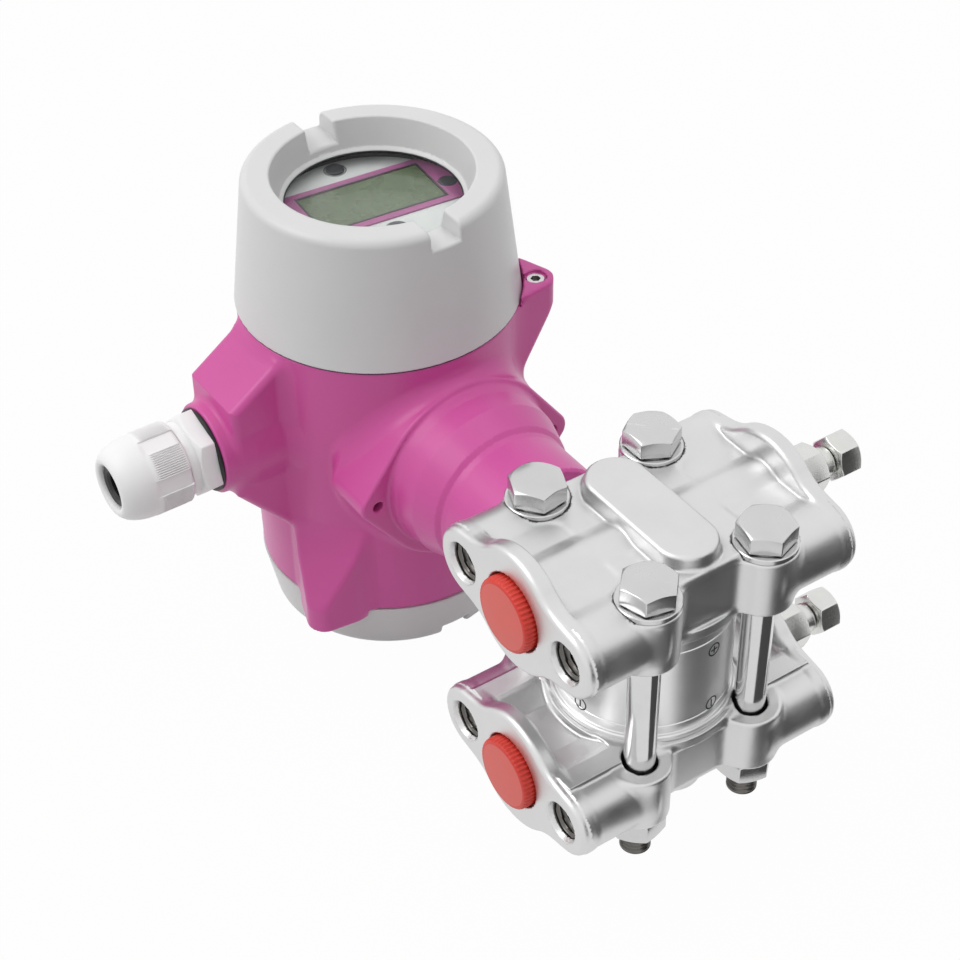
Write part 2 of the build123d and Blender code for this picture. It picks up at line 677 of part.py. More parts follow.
def lock_lug(face_z, tip_z, direction):
    """Tapered lug beside a cover, on the +X side of a body centred on Z."""
    outer = LOCK_RADIAL + LOCK_LUG_RADIUS
    inner = FRONT_NECK_RADIUS - 1
    rise = face_z + direction * LOCK_LUG_RISE
    side = Polyline(
        (inner, 0, tip_z),
        (inner, 0, rise),
        (outer, 0, rise),
        (outer, 0, rise - direction * LOCK_LUG_FACE),
        (BODY_BOTTOM_RADIUS - 1, 0, tip_z),
        close=True,
    )
    wedge = extrude(make_face(side), amount=3 * LOCK_LUG_RADIUS, both=True)
    plan = Pos(LOCK_RADIAL, 0) * Circle(LOCK_LUG_RADIUS)
    plan += Pos(inner, 0) * Rectangle(1, 4.4 * LOCK_LUG_RADIUS)
    post = extrude(make_hull(plan.edges()), amount=abs(rise - tip_z))
    return wedge & (Pos(0, 0, min(rise, tip_z)) * post)


def lock_place(angle):
    """Place of a lock screw in plan."""
    turn = math.radians(angle)
    return HOUSING_X + LOCK_RADIAL * math.cos(turn), MID_Y + LOCK_RADIAL * math.sin(turn)


def lock_screw(angle, face_z, direction):
    """Hex socket screw, set a little below the end face of its lug."""
    x, y = lock_place(angle)
    end = face_z + direction * (LOCK_LUG_RISE - LOCK_SCREW_SET)
    screw = rod_z(LOCK_SCREW_RADIUS, x, y, end - direction * LOCK_SCREW_LENGTH, end)
    socket = hex_socket(LOCK_SCREW_ACROSS_FLATS, LOCK_SCREW_RADIUS)
    if direction < 0:
        socket = Rot(180, 0, 0) * socket
    return screw - Pos(x, y, end) * socket


def lock_hole(angle, face_z, direction):
    """Threaded hole for a lock screw."""
    x, y = lock_place(angle)
    top = face_z + direction * (LOCK_LUG_RISE + 1)
    depth = face_z + direction * (LOCK_LUG_RISE - LOCK_SCREW_SET - LOCK_SCREW_LENGTH)
    return rod_z(LOCK_SCREW_RADIUS + THREAD_CLEARANCE, x, y, depth, top)


def entry_boss():
    """Cable entry on the -Y side: a sloped block with a round nose."""
    skin_y = MID_Y - BODY_TOP_RADIUS
    side = Polyline(
        (0, ENTRY_BLOCK_Y, ENTRY_BLOCK_TOP_Z),
        (0, skin_y, ENTRY_SLOPE_TOP_Z),
        (0, ENTRY_BLOCK_INNER_Y, ENTRY_SLOPE_TOP_Z),
        (0, ENTRY_BLOCK_INNER_Y, ENTRY_SLOPE_LOW_Z),
        (0, skin_y, ENTRY_SLOPE_LOW_Z),
        (0, ENTRY_BLOCK_Y, ENTRY_BLOCK_LOW_Z),
        close=True,
    )
    block = extrude(make_face(side), amount=ENTRY_BLOCK_WIDTH / 2, both=True)
    corners = [e for e in block.edges() if abs(e.center().Y - ENTRY_BLOCK_Y) < 0.1 and abs(e.center().X) > 1]
    block = fillet(corners, 2.0)
    nose = turned_about_z(
        [
            (0, 0),
            (ENTRY_NOSE_RADIUS - 0.5, 0),
            (ENTRY_NOSE_RADIUS, 0.5),
            (ENTRY_NOSE_ROOT_RADIUS, ENTRY_NOSE_ROOT_Y - ENTRY_NOSE_Y),
            (ENTRY_NOSE_ROOT_RADIUS, ENTRY_BLOCK_INNER_Y - ENTRY_NOSE_Y),
            (0, ENTRY_BLOCK_INNER_Y - ENTRY_NOSE_Y),
        ]
    )
    nose = Pos(0, ENTRY_NOSE_Y, ENTRY_Z) * Rot(-90, 0, 0) * nose
    return Pos(HOUSING_X, 0, 0) * (block + nose)


def entry_cuts():
    """Threaded cable entry and the wireway from it into the rear bay."""
    bore = rod_y(ENTRY_BORE, HOUSING_X, ENTRY_Z, ENTRY_NOSE_Y - 1, ENTRY_NOSE_Y + ENTRY_BORE_LENGTH)
    y = MID_Y - (WIREWAY_OUTER + WIREWAY_INNER) / 2
    top = ENTRY_Z + ENTRY_BORE - 1
    bottom = PARTITION_BOTTOM_Z - 1
    wireway = Box(WIREWAY_WIDTH, WIREWAY_OUTER - WIREWAY_INNER, top - bottom)
    return [bore, Pos(HOUSING_X, y, (top + bottom) / 2) * wireway]


def neck_casting():
    """Outside of the neck, with its oval pad and two ears."""
    inside = HOUSING_X + LOWER_BAY_RADIUS + 2
    neck = turned_about_neck(
        [
            (inside, 0),
            (inside, NECK_ROOT_RADIUS),
            (PAD_FACE_X + 0.6, NECK_ROOT_RADIUS),
            (PAD_FACE_X + 3.2, NECK_ROOT_RADIUS - 0.7),
            (NECK_CONE_X, NECK_CONE_LARGE_RADIUS),
            (NECK_GROOVE_X - 0.6, NECK_CONE_SMALL_RADIUS),
            (NECK_GROOVE_X, NECK_COLLAR_RADIUS - 0.5),
            (NECK_GROOVE_X + 1.2, NECK_COLLAR_RADIUS),
            (NECK_END_X - 0.8, NECK_COLLAR_RADIUS),
            (NECK_END_X, NECK_COLLAR_RADIUS - 0.8),
            (NECK_END_X, 0),
        ]
    )
    outline = Circle(PAD_RADIUS)
    for side in (-1, 1):
        outline += Pos(side * PAD_EAR_OFFSET, 0) * Circle(PAD_EAR_RADIUS)
    face = Plane(origin=(inside, MID_Y, -PAD_DROP), x_dir=(0, 1, 0), z_dir=(1, 0, 0))
    return neck + extrude(face * make_hull(outline.edges()), amount=PAD_FACE_X - inside)


def housing_bays():
    """Round bays, the neck bore and the small holes of the housing."""
    cuts = [
        rod_z(FRONT_BAY_RADIUS, HOUSING_X, MID_Y, FRONT_BAY_FLOOR_Z, FRONT_NECK_TOP_Z + 1),
        rod_z(LOWER_BAY_RADIUS, HOUSING_X, MID_Y, PARTITION_TOP_Z, FRONT_BAY_FLOOR_Z + 1),
        rod_z(REAR_BAY_RADIUS, HOUSING_X, MID_Y, REAR_NECK_BOTTOM_Z - 1, PARTITION_BOTTOM_Z),
        rod_x(NECK_BORE, MID_Y, 0, HOUSING_X, NECK_END_X + 1),
        rod_x(NECK_COUNTERBORE, MID_Y, 0, HOUSING_X, NECK_COUNTERBORE_X),
        rod_z(NECK_SCREW_RADIUS, NECK_SCREW_X, MID_Y, -NECK_COLLAR_RADIUS - 1, -NECK_BORE + 1),
        rod_x(EARTH_SCREW_SHANK + THREAD_CLEARANCE, MID_Y, EARTH_BOSS_Z, EARTH_BOSS_X - 1, EARTH_BOSS_X + 5),
        lock_hole(LOCK_ANGLE, BODY_TOP_Z, 1),
        lock_hole(-LOCK_ANGLE, BODY_BOTTOM_Z, -1),
    ]
    earth_x = HOUSING_X + EARTH_INSIDE_X
    earth_y = MID_Y + EARTH_INSIDE_Y
    earth_top = PARTITION_BOTTOM_Z + EARTH_SCREW_LENGTH
    cuts.append(rod_z(EARTH_SCREW_SHANK + THREAD_CLEARANCE, earth_x, earth_y, PARTITION_BOTTOM_Z, earth_top))
    for side in (-1, 1):
        y = MID_Y + side * PAD_EAR_OFFSET
        depth = PAD_FACE_X - PAD_EAR_HOLE_DEPTH
        cuts.append(rod_x(PAD_EAR_HOLE, y, -PAD_DROP, PAD_FACE_X + 1, depth))
    return cuts + entry_cuts()


def cover_sweeps():
    """Ring spaces that the two covers turn in, kept clear of lugs and bosses."""
    front = rod_z(COVER_SKIRT_RADIUS + COVER_SWEEP_GAP, HOUSING_X, MID_Y, BODY_TOP_Z, COVER_TOP_Z)
    front -= rod_z(FRONT_NECK_RADIUS, HOUSING_X, MID_Y, BODY_TOP_Z - 1, COVER_TOP_Z)
    rear = rod_z(REAR_SKIRT_RADIUS + COVER_SWEEP_GAP, HOUSING_X, MID_Y, BODY_BOTTOM_Z, REAR_COVER_BOTTOM_Z)
    rear -= rod_z(REAR_NECK_RADIUS, HOUSING_X, MID_Y, BODY_BOTTOM_Z + 1, REAR_COVER_BOTTOM_Z)
    return [front, rear]


def front_seal_groove():
    """Groove round the front neck for the display cover seal."""
    start = BODY_TOP_Z + COVER_SEAL_OFFSET
    floor = FRONT_NECK_RADIUS - 2 * COVER_SEAL_SECTION
    groove = rod_z(FRONT_NECK_RADIUS + 1, HOUSING_X, MID_Y, start, start + SEAL_GROOVE_WIDTH)
    return groove - rod_z(floor, HOUSING_X, MID_Y, start, start + SEAL_GROOVE_WIDTH)


def housing_casting():
    """Cast housing with two bays, the cable entry, two locks and the neck."""
    body = turned_about_housing(
        [
            (0, REAR_NECK_BOTTOM_Z),
            (REAR_NECK_RADIUS, REAR_NECK_BOTTOM_Z),
            (REAR_NECK_RADIUS, BODY_BOTTOM_Z),
            (BODY_BOTTOM_RADIUS, BODY_BOTTOM_Z),
            (BODY_TOP_RADIUS, BODY_TOP_Z),
            (FRONT_NECK_RADIUS, BODY_TOP_Z),
            (FRONT_NECK_RADIUS, FRONT_NECK_TOP_Z),
            (0, FRONT_NECK_TOP_Z),
        ]
    )
    earth_boss = rod_x(EARTH_BOSS_RADIUS, MID_Y, EARTH_BOSS_Z, EARTH_BOSS_X, EARTH_BOSS_X + 5)
    casting = body + neck_casting() + entry_boss() + earth_boss
    front_lug = lock_lug(BODY_TOP_Z, LOCK_FRONT_TIP_Z, 1)
    rear_lug = lock_lug(BODY_BOTTOM_Z, LOCK_REAR_TIP_Z, -1)
    casting += Pos(HOUSING_X, MID_Y, 0) * Rot(0, 0, LOCK_ANGLE) * front_lug
    casting += Pos(HOUSING_X, MID_Y, 0) * Rot(0, 0, -LOCK_ANGLE) * rear_lug
    for cut in cover_sweeps() + housing_bays():
        casting -= cut
    return casting - front_seal_groove()


def beyond(plane):
    """Block on the normal side of a plane, larger than the housing."""
    return plane * Pos(0, 0, SECTION_REACH / 2) * Box(SECTION_REACH, SECTION_REACH, SECTION_REACH)


def housing_sections():
    """The one casting in sections that meet face to face, from the outer ones to the middle."""
    cuts = {
        "housing_neck": Plane(origin=(PAD_FACE_X, MID_Y, 0), z_dir=(1, 0, 0)),
        "housing_entry": Plane(origin=(HOUSING_X, MID_Y - BODY_TOP_RADIUS, 0), z_dir=(0, -1, 0)),
        "housing_front_bay": Plane(origin=(HOUSING_X, MID_Y, FRONT_BAY_FLOOR_Z), z_dir=(0, 0, 1)),
        "housing_rear_bay": Plane(origin=(HOUSING_X, MID_Y, PARTITION_BOTTOM_Z), z_dir=(0, 0, -1)),
        "housing_partition": Plane(origin=(HOUSING_X, MID_Y, PARTITION_TOP_Z), z_dir=(0, 0, -1)),
    }
    rest = housing_casting()
    sections = {}
    for name, plane in cuts.items():
        block = beyond(plane)
        sections[name] = rest & block
        rest = rest - block
    sections["housing"] = rest
    return sections


# Covers


def wrench_slots(start, floor_inner_z, floor_outer_z, rim_z):
    """Two radial slots across a cover rim, on the +X and -X sides."""
    end = COVER_SKIRT_RADIUS + 1
    side = Polyline(
        (start, 0, floor_inner_z), (end, 0, floor_outer_z), (end, 0, rim_z), (start, 0, rim_z), close=True
    )
    slot = extrude(make_face(side), amount=SLOT_WIDTH / 2, both=True)
    return Pos(HOUSING_X, MID_Y, 0) * (slot + Rot(0, 0, 180) * slot)


def outer_rim(cover, z, least_radius):
    """Outer edge of a cover at this height."""
    return [
        e
        for e in cover.edges()
        if e.geom_type == GeomType.CIRCLE and abs(e.center().Z - z) < 0.01 and e.radius > least_radius
    ]


def display_cover():
    """Screwed cover with a sunk rim, two wrench slots and a window pocket."""
    pocket = WINDOW_RADIUS + WINDOW_CLEARANCE
    thread = FRONT_NECK_RADIUS + THREAD_CLEARANCE
    thread_top = FRONT_NECK_TOP_Z + COVER_THREAD_RELIEF
    cover = turned_about_housing(
        [
            (COVER_SKIRT_RADIUS, SEAM_TOP_Z),
            (COVER_TOP_RADIUS, COVER_TOP_Z),
            (COVER_WELL_RADIUS, COVER_TOP_Z),
            (COVER_WELL_FLOOR_RADIUS, COVER_WELL_FLOOR_Z),
            (WINDOW_OPENING, WINDOW_TOP_Z + WINDOW_LIP),
            (WINDOW_OPENING, WINDOW_TOP_Z),
            (pocket, WINDOW_TOP_Z),
            (pocket, WINDOW_TOP_Z - COVER_POCKET_DEPTH),
            (COVER_CAVITY_RADIUS, thread_top),
            (thread, thread_top),
            (thread, SEAM_TOP_Z),
        ]
    )
    cover = fillet(outer_rim(cover, COVER_TOP_Z, COVER_TOP_RADIUS - 1), COVER_EDGE_ROUND)
    return cover - wrench_slots(COVER_WELL_FLOOR_RADIUS - 0.5, SLOT_INNER_Z, SLOT_OUTER_Z, COVER_TOP_Z + 1)


def cover_window():
    """Thick flat glass in the display cover."""
    return rod_z(WINDOW_RADIUS, HOUSING_X, MID_Y, WINDOW_BOTTOM_Z, WINDOW_TOP_Z)


def window_retainer():
    """Threaded ring that holds the glass against the cover."""
    outer = WINDOW_RADIUS + WINDOW_CLEARANCE - THREAD_CLEARANCE
    bottom = WINDOW_BOTTOM_Z - RETAINER_THICKNESS
    ring = rod_z(outer, HOUSING_X, MID_Y, bottom, WINDOW_BOTTOM_Z)
    return ring - rod_z(RETAINER_INNER, HOUSING_X, MID_Y, bottom - 1, WINDOW_BOTTOM_Z + 1)


def front_cover_seal():
    """Seal ring in the groove of the front neck."""
    z = BODY_TOP_Z + COVER_SEAL_OFFSET + SEAL_GROOVE_WIDTH / 2
    radius = FRONT_NECK_RADIUS - COVER_SEAL_SECTION
    return Pos(HOUSING_X, MID_Y, z) * Torus(radius, COVER_SEAL_SECTION)


def terminal_cover():
    """Screwed blind cover with a sunk middle and two wrench slots."""
    well_z = REAR_COVER_BOTTOM_Z + REAR_WELL_DEPTH
    inner_z = well_z + REAR_PLATE_THICKNESS
    neck_z = REAR_NECK_BOTTOM_Z - REAR_THREAD_RELIEF
    plug = REAR_BAY_RADIUS - REAR_PLUG_CLEARANCE
    cover = turned_about_housing(
        [
            (0, inner_z),
            (plug, inner_z),
            (plug, neck_z),
            (REAR_THREAD_RADIUS, neck_z),
            (REAR_THREAD_RADIUS, SEAM_BOTTOM_Z),
            (REAR_SKIRT_RADIUS, SEAM_BOTTOM_Z),
            (REAR_CORNER_RADIUS, REAR_COVER_BOTTOM_Z),
            (REAR_RIM_INNER, REAR_COVER_BOTTOM_Z),
            (REAR_RIM_INNER - 0.6, well_z),
            (0, well_z),
        ]
    )
    cover = fillet(outer_rim(cover, REAR_COVER_BOTTOM_Z, REAR_CORNER_RADIUS - 1), COVER_EDGE_ROUND)
    slot_z = REAR_COVER_BOTTOM_Z + REAR_SLOT_DEPTH
    cover -= wrench_slots(REAR_RIM_INNER - 1, slot_z, slot_z, REAR_COVER_BOTTOM_Z - 1)
    start = SEAM_BOTTOM_Z - COVER_SEAL_OFFSET
    groove = rod_z(REAR_THREAD_RADIUS + 2 * COVER_SEAL_SECTION, HOUSING_X, MID_Y, start, start - SEAL_GROOVE_WIDTH)
    return cover - groove


def terminal_cover_seal():
    """Seal ring in the groove inside the terminal cover."""
    z = SEAM_BOTTOM_Z - COVER_SEAL_OFFSET - SEAL_GROOVE_WIDTH / 2
    return Pos(HOUSING_X, MID_Y, z) * Torus(REAR_THREAD_RADIUS + COVER_SEAL_SECTION, COVER_SEAL_SECTION)


# Display unit


def on_display(x, y):
    """Place on the display, turned with it about the housing axis."""
    return Pos(HOUSING_X, MID_Y, 0) * Rot(0, 0, DISPLAY_TURN) * Pos(x, y, 0)


def lcd_block(clearance, top_z):
    """Block of the size of the liquid crystal panel."""
    bottom = DISPLAY_TOP_Z - LCD_SET - LCD_DEPTH
    width = LCD_WIDTH + 2 * clearance
    block = Box(width, LCD_LENGTH + 2 * clearance, top_z - bottom)
    return on_display(BEZEL_OFFSET_X, LCD_OFFSET_Y) * Pos(0, 0, (top_z + bottom) / 2) * block


def button_wells():
    """Guide holes for the three buttons."""
    top = DISPLAY_TOP_Z + 1
    bottom = DISPLAY_TOP_Z + BUTTON_PROUD - BUTTON_HEIGHT - BUTTON_TRAVEL - 0.2
    radius = BUTTON_RADIUS + BUTTON_CLEARANCE
    return [rod_z(radius, HOUSING_X + x, MID_Y + y, bottom, top) for x, y in BUTTON_PLACES.values()]


def without_fittings(shape):
    """Display piece with room for the panel and the buttons."""
    shape -= lcd_block(LCD_CLEARANCE, DISPLAY_TOP_Z + 1)
    for well in button_wells():
        shape -= well
    return shape


def display_frame():
    """Moulded frame that carries the display on the electronics module."""
    return without_fittings(rod_z(DISPLAY_FRAME_RADIUS, HOUSING_X, MID_Y, MODULE_TOP_Z, FRAME_TOP_Z))


def display_plate():
    """Round front plate of the display."""
    return without_fittings(rod_z(DISPLAY_PLATE_RADIUS, HOUSING_X, MID_Y, FRAME_TOP_Z, PLATE_TOP_Z))


def display_bezel():
    """Coloured band round the liquid crystal panel."""
    disc = rod_z(DISPLAY_PLATE_RADIUS, HOUSING_X, MID_Y, PLATE_TOP_Z, DISPLAY_TOP_Z)
    band = on_display(BEZEL_OFFSET_X, 0) * Box(BEZEL_WIDTH, 4 * DISPLAY_PLATE_RADIUS, 4 * DISPLAY_TOP_Z)
    return without_fittings(disc & band)


def button(place):
    """Round push button in its guide hole."""
    x, y = place
    top = DISPLAY_TOP_Z + BUTTON_PROUD
    pin = rod_z(BUTTON_RADIUS, HOUSING_X + x, MID_Y + y, top - BUTTON_HEIGHT, top)
    return chamfer(pin.edges().sort_by(Axis.Z)[-1], 0.3)


def electronics_module():
    """Potted electronics in a round can with a narrower core below."""
    can = rod_z(MODULE_RADIUS, HOUSING_X, MID_Y, FRONT_BAY_FLOOR_Z, MODULE_TOP_Z)
    can = chamfer(can.edges().sort_by(Axis.Z)[-1], 1.0)
    bottom = FRONT_BAY_FLOOR_Z - MODULE_CORE_DEPTH
    return can + rod_z(MODULE_CORE_RADIUS, HOUSING_X, MID_Y, bottom, FRONT_BAY_FLOOR_Z)


# Terminals and earth screws


def terminal_places():
    """Centres of the terminal screws."""
    first = -(TERMINAL_COUNT - 1) * TERMINAL_PITCH / 2
    y = MID_Y + TERMINAL_OFFSET_Y
    return [(HOUSING_X + first + step * TERMINAL_PITCH, y) for step in range(TERMINAL_COUNT)]


def terminal_block():
    """Moulded block with a screw well and a wire hole for each terminal."""
    face_z = PARTITION_BOTTOM_Z - TERMINAL_HEIGHT
    middle_z = (PARTITION_BOTTOM_Z + face_z) / 2
    y = MID_Y + TERMINAL_OFFSET_Y
    block = Pos(HOUSING_X, y, middle_z) * Box(TERMINAL_LENGTH, TERMINAL_WIDTH, TERMINAL_HEIGHT)
    for x, y in terminal_places():
        block -= rod_z(TERMINAL_WELL_RADIUS, x, y, face_z - 1, face_z + TERMINAL_WELL_DEPTH)
        shank_end = face_z + TERMINAL_WELL_DEPTH + TERMINAL_SCREW_LENGTH
        block -= rod_z(TERMINAL_SCREW_SHANK + THREAD_CLEARANCE, x, y, face_z, shank_end)
        hole_z = face_z + TERMINAL_WELL_DEPTH + TERMINAL_WIRE_HOLE + 1
        block -= rod_y(TERMINAL_WIRE_HOLE, x, hole_z, y - TERMINAL_WIDTH, y)
    return block


def slotted_head(radius, height):
    """Screw head on z zero with a driver slot across its top."""
    head = Pos(0, 0, height / 2) * Cylinder(radius, height)
    head = chamfer(head.edges().sort_by(Axis.Z)[-1], 0.3)
    return head - Pos(0, 0, height) * Box(3 * radius, radius * 0.3, height * 0.8)


def terminal_screws():
    """Slotted screws of the terminal block."""
    seat_z = PARTITION_BOTTOM_Z - TERMINAL_HEIGHT + TERMINAL_WELL_DEPTH
    screw = Rot(180, 0, 0) * slotted_head(TERMINAL_SCREW_RADIUS, TERMINAL_SCREW_HEAD)
    screw += rod_z(TERMINAL_SCREW_SHANK, 0, 0, 0, TERMINAL_SCREW_LENGTH)
    return Compound([Pos(x, y, seat_z) * screw for x, y in terminal_places()])


def earth_screws():
    """Earth screw inside the terminal bay and one outside on the far side."""
    screw = slotted_head(EARTH_SCREW_RADIUS, EARTH_SCREW_HEAD)
    screw += rod_z(EARTH_SCREW_SHANK, 0, 0, -EARTH_SCREW_LENGTH, 0)
    inside = Pos(HOUSING_X + EARTH_INSIDE_X, MID_Y + EARTH_INSIDE_Y, PARTITION_BOTTOM_Z) * Rot(180, 0, 0)
    outside = Pos(EARTH_BOSS_X, MID_Y, EARTH_BOSS_Z) * Rot(0, -90, 0)
    return Compound([inside * screw, outside * screw])


# Cable gland


def entry_seal_ring():
    """Flat seal ring under the gland."""
    end = ENTRY_NOSE_Y - GLAND_RING_THICKNESS
    ring = rod_y(GLAND_RING_RADIUS, HOUSING_X, ENTRY_Z, end, ENTRY_NOSE_Y)
    return ring - rod_y(ENTRY_BORE, HOUSING_X, ENTRY_Z, end - 1, ENTRY_NOSE_Y + 1)


def gland_body():
    """Gland body: entry thread, hexagon, collar and the spigot for the nut."""
    hexagon = Rot(90, 0, 0) * Rot(0, 0, GLAND_HEX_TURN) * hex_prism(GLAND_ACROSS_FLATS, GLAND_HEX_LENGTH)
    body = Pos(HOUSING_X, GLAND_FACE_Y, ENTRY_Z) * hexagon
    thread_end = ENTRY_NOSE_Y + GLAND_THREAD_LENGTH
    body += rod_y(ENTRY_BORE - THREAD_CLEARANCE, HOUSING_X, ENTRY_Z, GLAND_FACE_Y, thread_end)
    collar_end = GLAND_NUT_Y + GLAND_NUT_GAP
    body += rod_y(GLAND_COLLAR_RADIUS, HOUSING_X, ENTRY_Z, GLAND_FACE_Y, collar_end)
    spigot_end = GLAND_NUT_Y - GLAND_SPIGOT_LENGTH
    body += rod_y(GLAND_SPIGOT_RADIUS, HOUSING_X, ENTRY_Z, collar_end, spigot_end)
    return body - rod_y(GLAND_BODY_BORE, HOUSING_X, ENTRY_Z, thread_end + 1, spigot_end - 1)


def on_gland(shape):
    """Shape drawn along +Z, set on the gland axis and pointing out of it."""
    return Pos(HOUSING_X, GLAND_NUT_Y, ENTRY_Z) * Rot(90, 0, 0) * shape


def grip_outline():
    """Six flats with fine ribs between them."""
    flat_reach = (GLAND_NUT_RADIUS - GLAND_FLAT_DEPTH) / math.cos(math.radians(GLAND_FLAT_ANGLE / 2))
    rib_span = 60 - GLAND_FLAT_ANGLE
    points = []
    for sector in range(6):
        start = sector * 60 + GLAND_HEX_TURN
        for angle in (-GLAND_FLAT_ANGLE / 2, GLAND_FLAT_ANGLE / 2):
            points.append((flat_reach, start + angle))
        for step in range(2 * GLAND_RIBS_PER_SECTOR - 1):
            angle = GLAND_FLAT_ANGLE / 2 + rib_span * (step + 1) / (2 * GLAND_RIBS_PER_SECTOR)
            reach = GLAND_NUT_RADIUS if step % 2 == 0 else GLAND_NUT_RADIUS - GLAND_FLAT_DEPTH / 2
            points.append((reach, start + angle))
    placed = [(r * math.cos(math.radians(a)), r * math.sin(math.radians(a))) for r, a in points]
    return make_face(Polyline(*placed, close=True))


def gland_nut():
    """Domed nut with flats and ribs, a thread and a narrow mouth."""
    grip = extrude(grip_outline(), amount=GLAND_GRIP_LENGTH)
    base = GLAND_GRIP_LENGTH
    top = GLAND_NUT_LENGTH
    dome_edge = Wire(
        [
            Line((0, 0, base), (GLAND_DOME_START, 0, base)),
            ThreePointArc(
                (GLAND_DOME_START, 0, base),
                (GLAND_DOME_MIDDLE, 0, (base + top) / 2),
                (GLAND_DOME_END, 0, top),
            ),
            Line((GLAND_DOME_END, 0, top), (0, 0, top)),
            Line((0, 0, top), (0, 0, base)),
        ]
    )
    dome = revolve(make_face(dome_edge), axis=Axis.Z)
    bore = GLAND_SPIGOT_RADIUS + THREAD_CLEARANCE
    shoulder = top - GLAND_NUT_LIP
    inside = turned_about_z(
        [
            (0, -1),
            (bore, -1),
            (bore, base),
            (GLAND_BODY_BORE, shoulder),
            (GLAND_NUT_MOUTH, shoulder),
            (GLAND_NUT_MOUTH, top + 1),
            (0, top + 1),
        ]
    )
    return on_gland(grip + dome - inside)


def gland_insert():
    """Soft sealing insert between the gland body and the nut."""
    outer = GLAND_BODY_BORE - GLAND_INSERT_CLEARANCE
    tip = GLAND_NUT_MOUTH - GLAND_INSERT_CLEARANCE
    shoulder = GLAND_NUT_LENGTH - GLAND_NUT_LIP - GLAND_INSERT_CLEARANCE
    end = GLAND_NUT_LENGTH - GLAND_INSERT_SET
    return on_gland(
        turned_about_z(
            [
                (GLAND_INSERT_BORE, GLAND_INSERT_START),
                (outer, GLAND_INSERT_START),
                (outer, shoulder),
                (tip, shoulder),
                (tip, end),
                (GLAND_INSERT_BORE, end),
            ]
        )
    )


# All pieces

upper_flange = process_flange()
pieces = {
    "upper_flange": upper_flange,
    "lower_flange": upper_flange.mirror(Plane.XY),
    "flange_bolts": clamping_bolts(),
    "bolt_washers": bolt_washers(),
    "flange_nuts": bolt_nuts(),
    "sensor_capsule": sensor_capsule(),
    "upper_diaphragm": diaphragm(1),
    "lower_diaphragm": diaphragm(-1),
    "upper_capsule_seal": capsule_seal(1),
    "lower_capsule_seal": capsule_seal(-1),
    "sensor_stem": sensor_stem(),
    "stem_seal": stem_seal(),
    "stem_retaining_ring": stem_retaining_ring(),
    "upper_vent_plug": vent_plug(PORT_Z),
    "lower_vent_plug": vent_plug(-PORT_Z),
    "upper_vent_stem": vent_stem(PORT_Z),
    "lower_vent_stem": vent_stem(-PORT_Z),
    "upper_port_cap": port_cap(PORT_Z),
    "lower_port_cap": port_cap(-PORT_Z),
    "neck_set_screw": neck_set_screw(),
    "front_lock_screw": lock_screw(LOCK_ANGLE, BODY_TOP_Z, 1),
    "rear_lock_screw": lock_screw(-LOCK_ANGLE, BODY_BOTTOM_Z, -1),
    "earth_screws": earth_screws(),
    "display_cover": display_cover(),
    "cover_window": cover_window(),
    "window_retainer": window_retainer(),
    "front_cover_seal": front_cover_seal(),
    "terminal_cover": terminal_cover(),
    "terminal_cover_seal": terminal_cover_seal(),
    "display_frame": display_frame(),
    "display_plate": display_plate(),
    "display_bezel": display_bezel(),
    "lcd_panel": lcd_block(0, DISPLAY_TOP_Z - LCD_SET),
    "electronics_module": electronics_module(),
    "terminal_block": terminal_block(),
    "terminal_screws": terminal_screws(),
    "entry_seal_ring": entry_seal_ring(),
    "gland_body": gland_body(),
    "gland_nut": gland_nut(),
    "gland_insert": gland_insert(),
}
pieces.update(housing_sections())
for name, place in BUTTON_PLACES.items():
    pieces[name] = button(place)

os.makedirs("parts", exist_ok=True)
for name, shape in pieces.items():
    export_step(shape, f"parts/{name}.step")
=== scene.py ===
"""Dresses the pressure transmitter: castings, covers, gland, vents, fasteners and finishes."""

import logging
import math
from collections.abc import Callable, Iterable, Sequence
from dataclasses import dataclass
from enum import Enum

import bpy
import numpy as np
from bpy.types import Material, Mesh, Node, NodeSocket, NodeTree, Object
from mathutils import Matrix, Vector


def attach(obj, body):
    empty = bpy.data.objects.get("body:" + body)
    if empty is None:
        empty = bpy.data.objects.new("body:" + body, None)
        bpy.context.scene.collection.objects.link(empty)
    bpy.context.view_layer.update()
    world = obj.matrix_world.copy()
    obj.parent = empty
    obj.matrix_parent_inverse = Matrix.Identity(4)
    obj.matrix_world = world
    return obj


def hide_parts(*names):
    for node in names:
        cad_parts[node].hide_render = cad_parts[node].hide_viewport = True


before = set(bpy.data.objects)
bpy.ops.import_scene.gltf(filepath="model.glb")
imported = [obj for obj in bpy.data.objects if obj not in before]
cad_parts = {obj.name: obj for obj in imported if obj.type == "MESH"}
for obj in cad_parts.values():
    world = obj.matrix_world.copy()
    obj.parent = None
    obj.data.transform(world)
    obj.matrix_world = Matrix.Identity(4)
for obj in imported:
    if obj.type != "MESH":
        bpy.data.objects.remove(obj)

log = logging.getLogger("transmitter")

MM = 0.001
Array = np.ndarray
Field = Callable[[Array], Array]
Triple = tuple[float, float, float]
Colour = Triple

BLOCK = "process_block"
HOUSING_X = -120.8
MID_Y = 40.2
PORT_Z = 27.0


class Axis3(Enum):
    """Direction that a turned or prismatic shape is drawn along."""

    PLUS_X = "+x"
    PLUS_Y = "+y"
    MINUS_Y = "-y"
    PLUS_Z = "+z"
    MINUS_Z = "-z"


# Distances


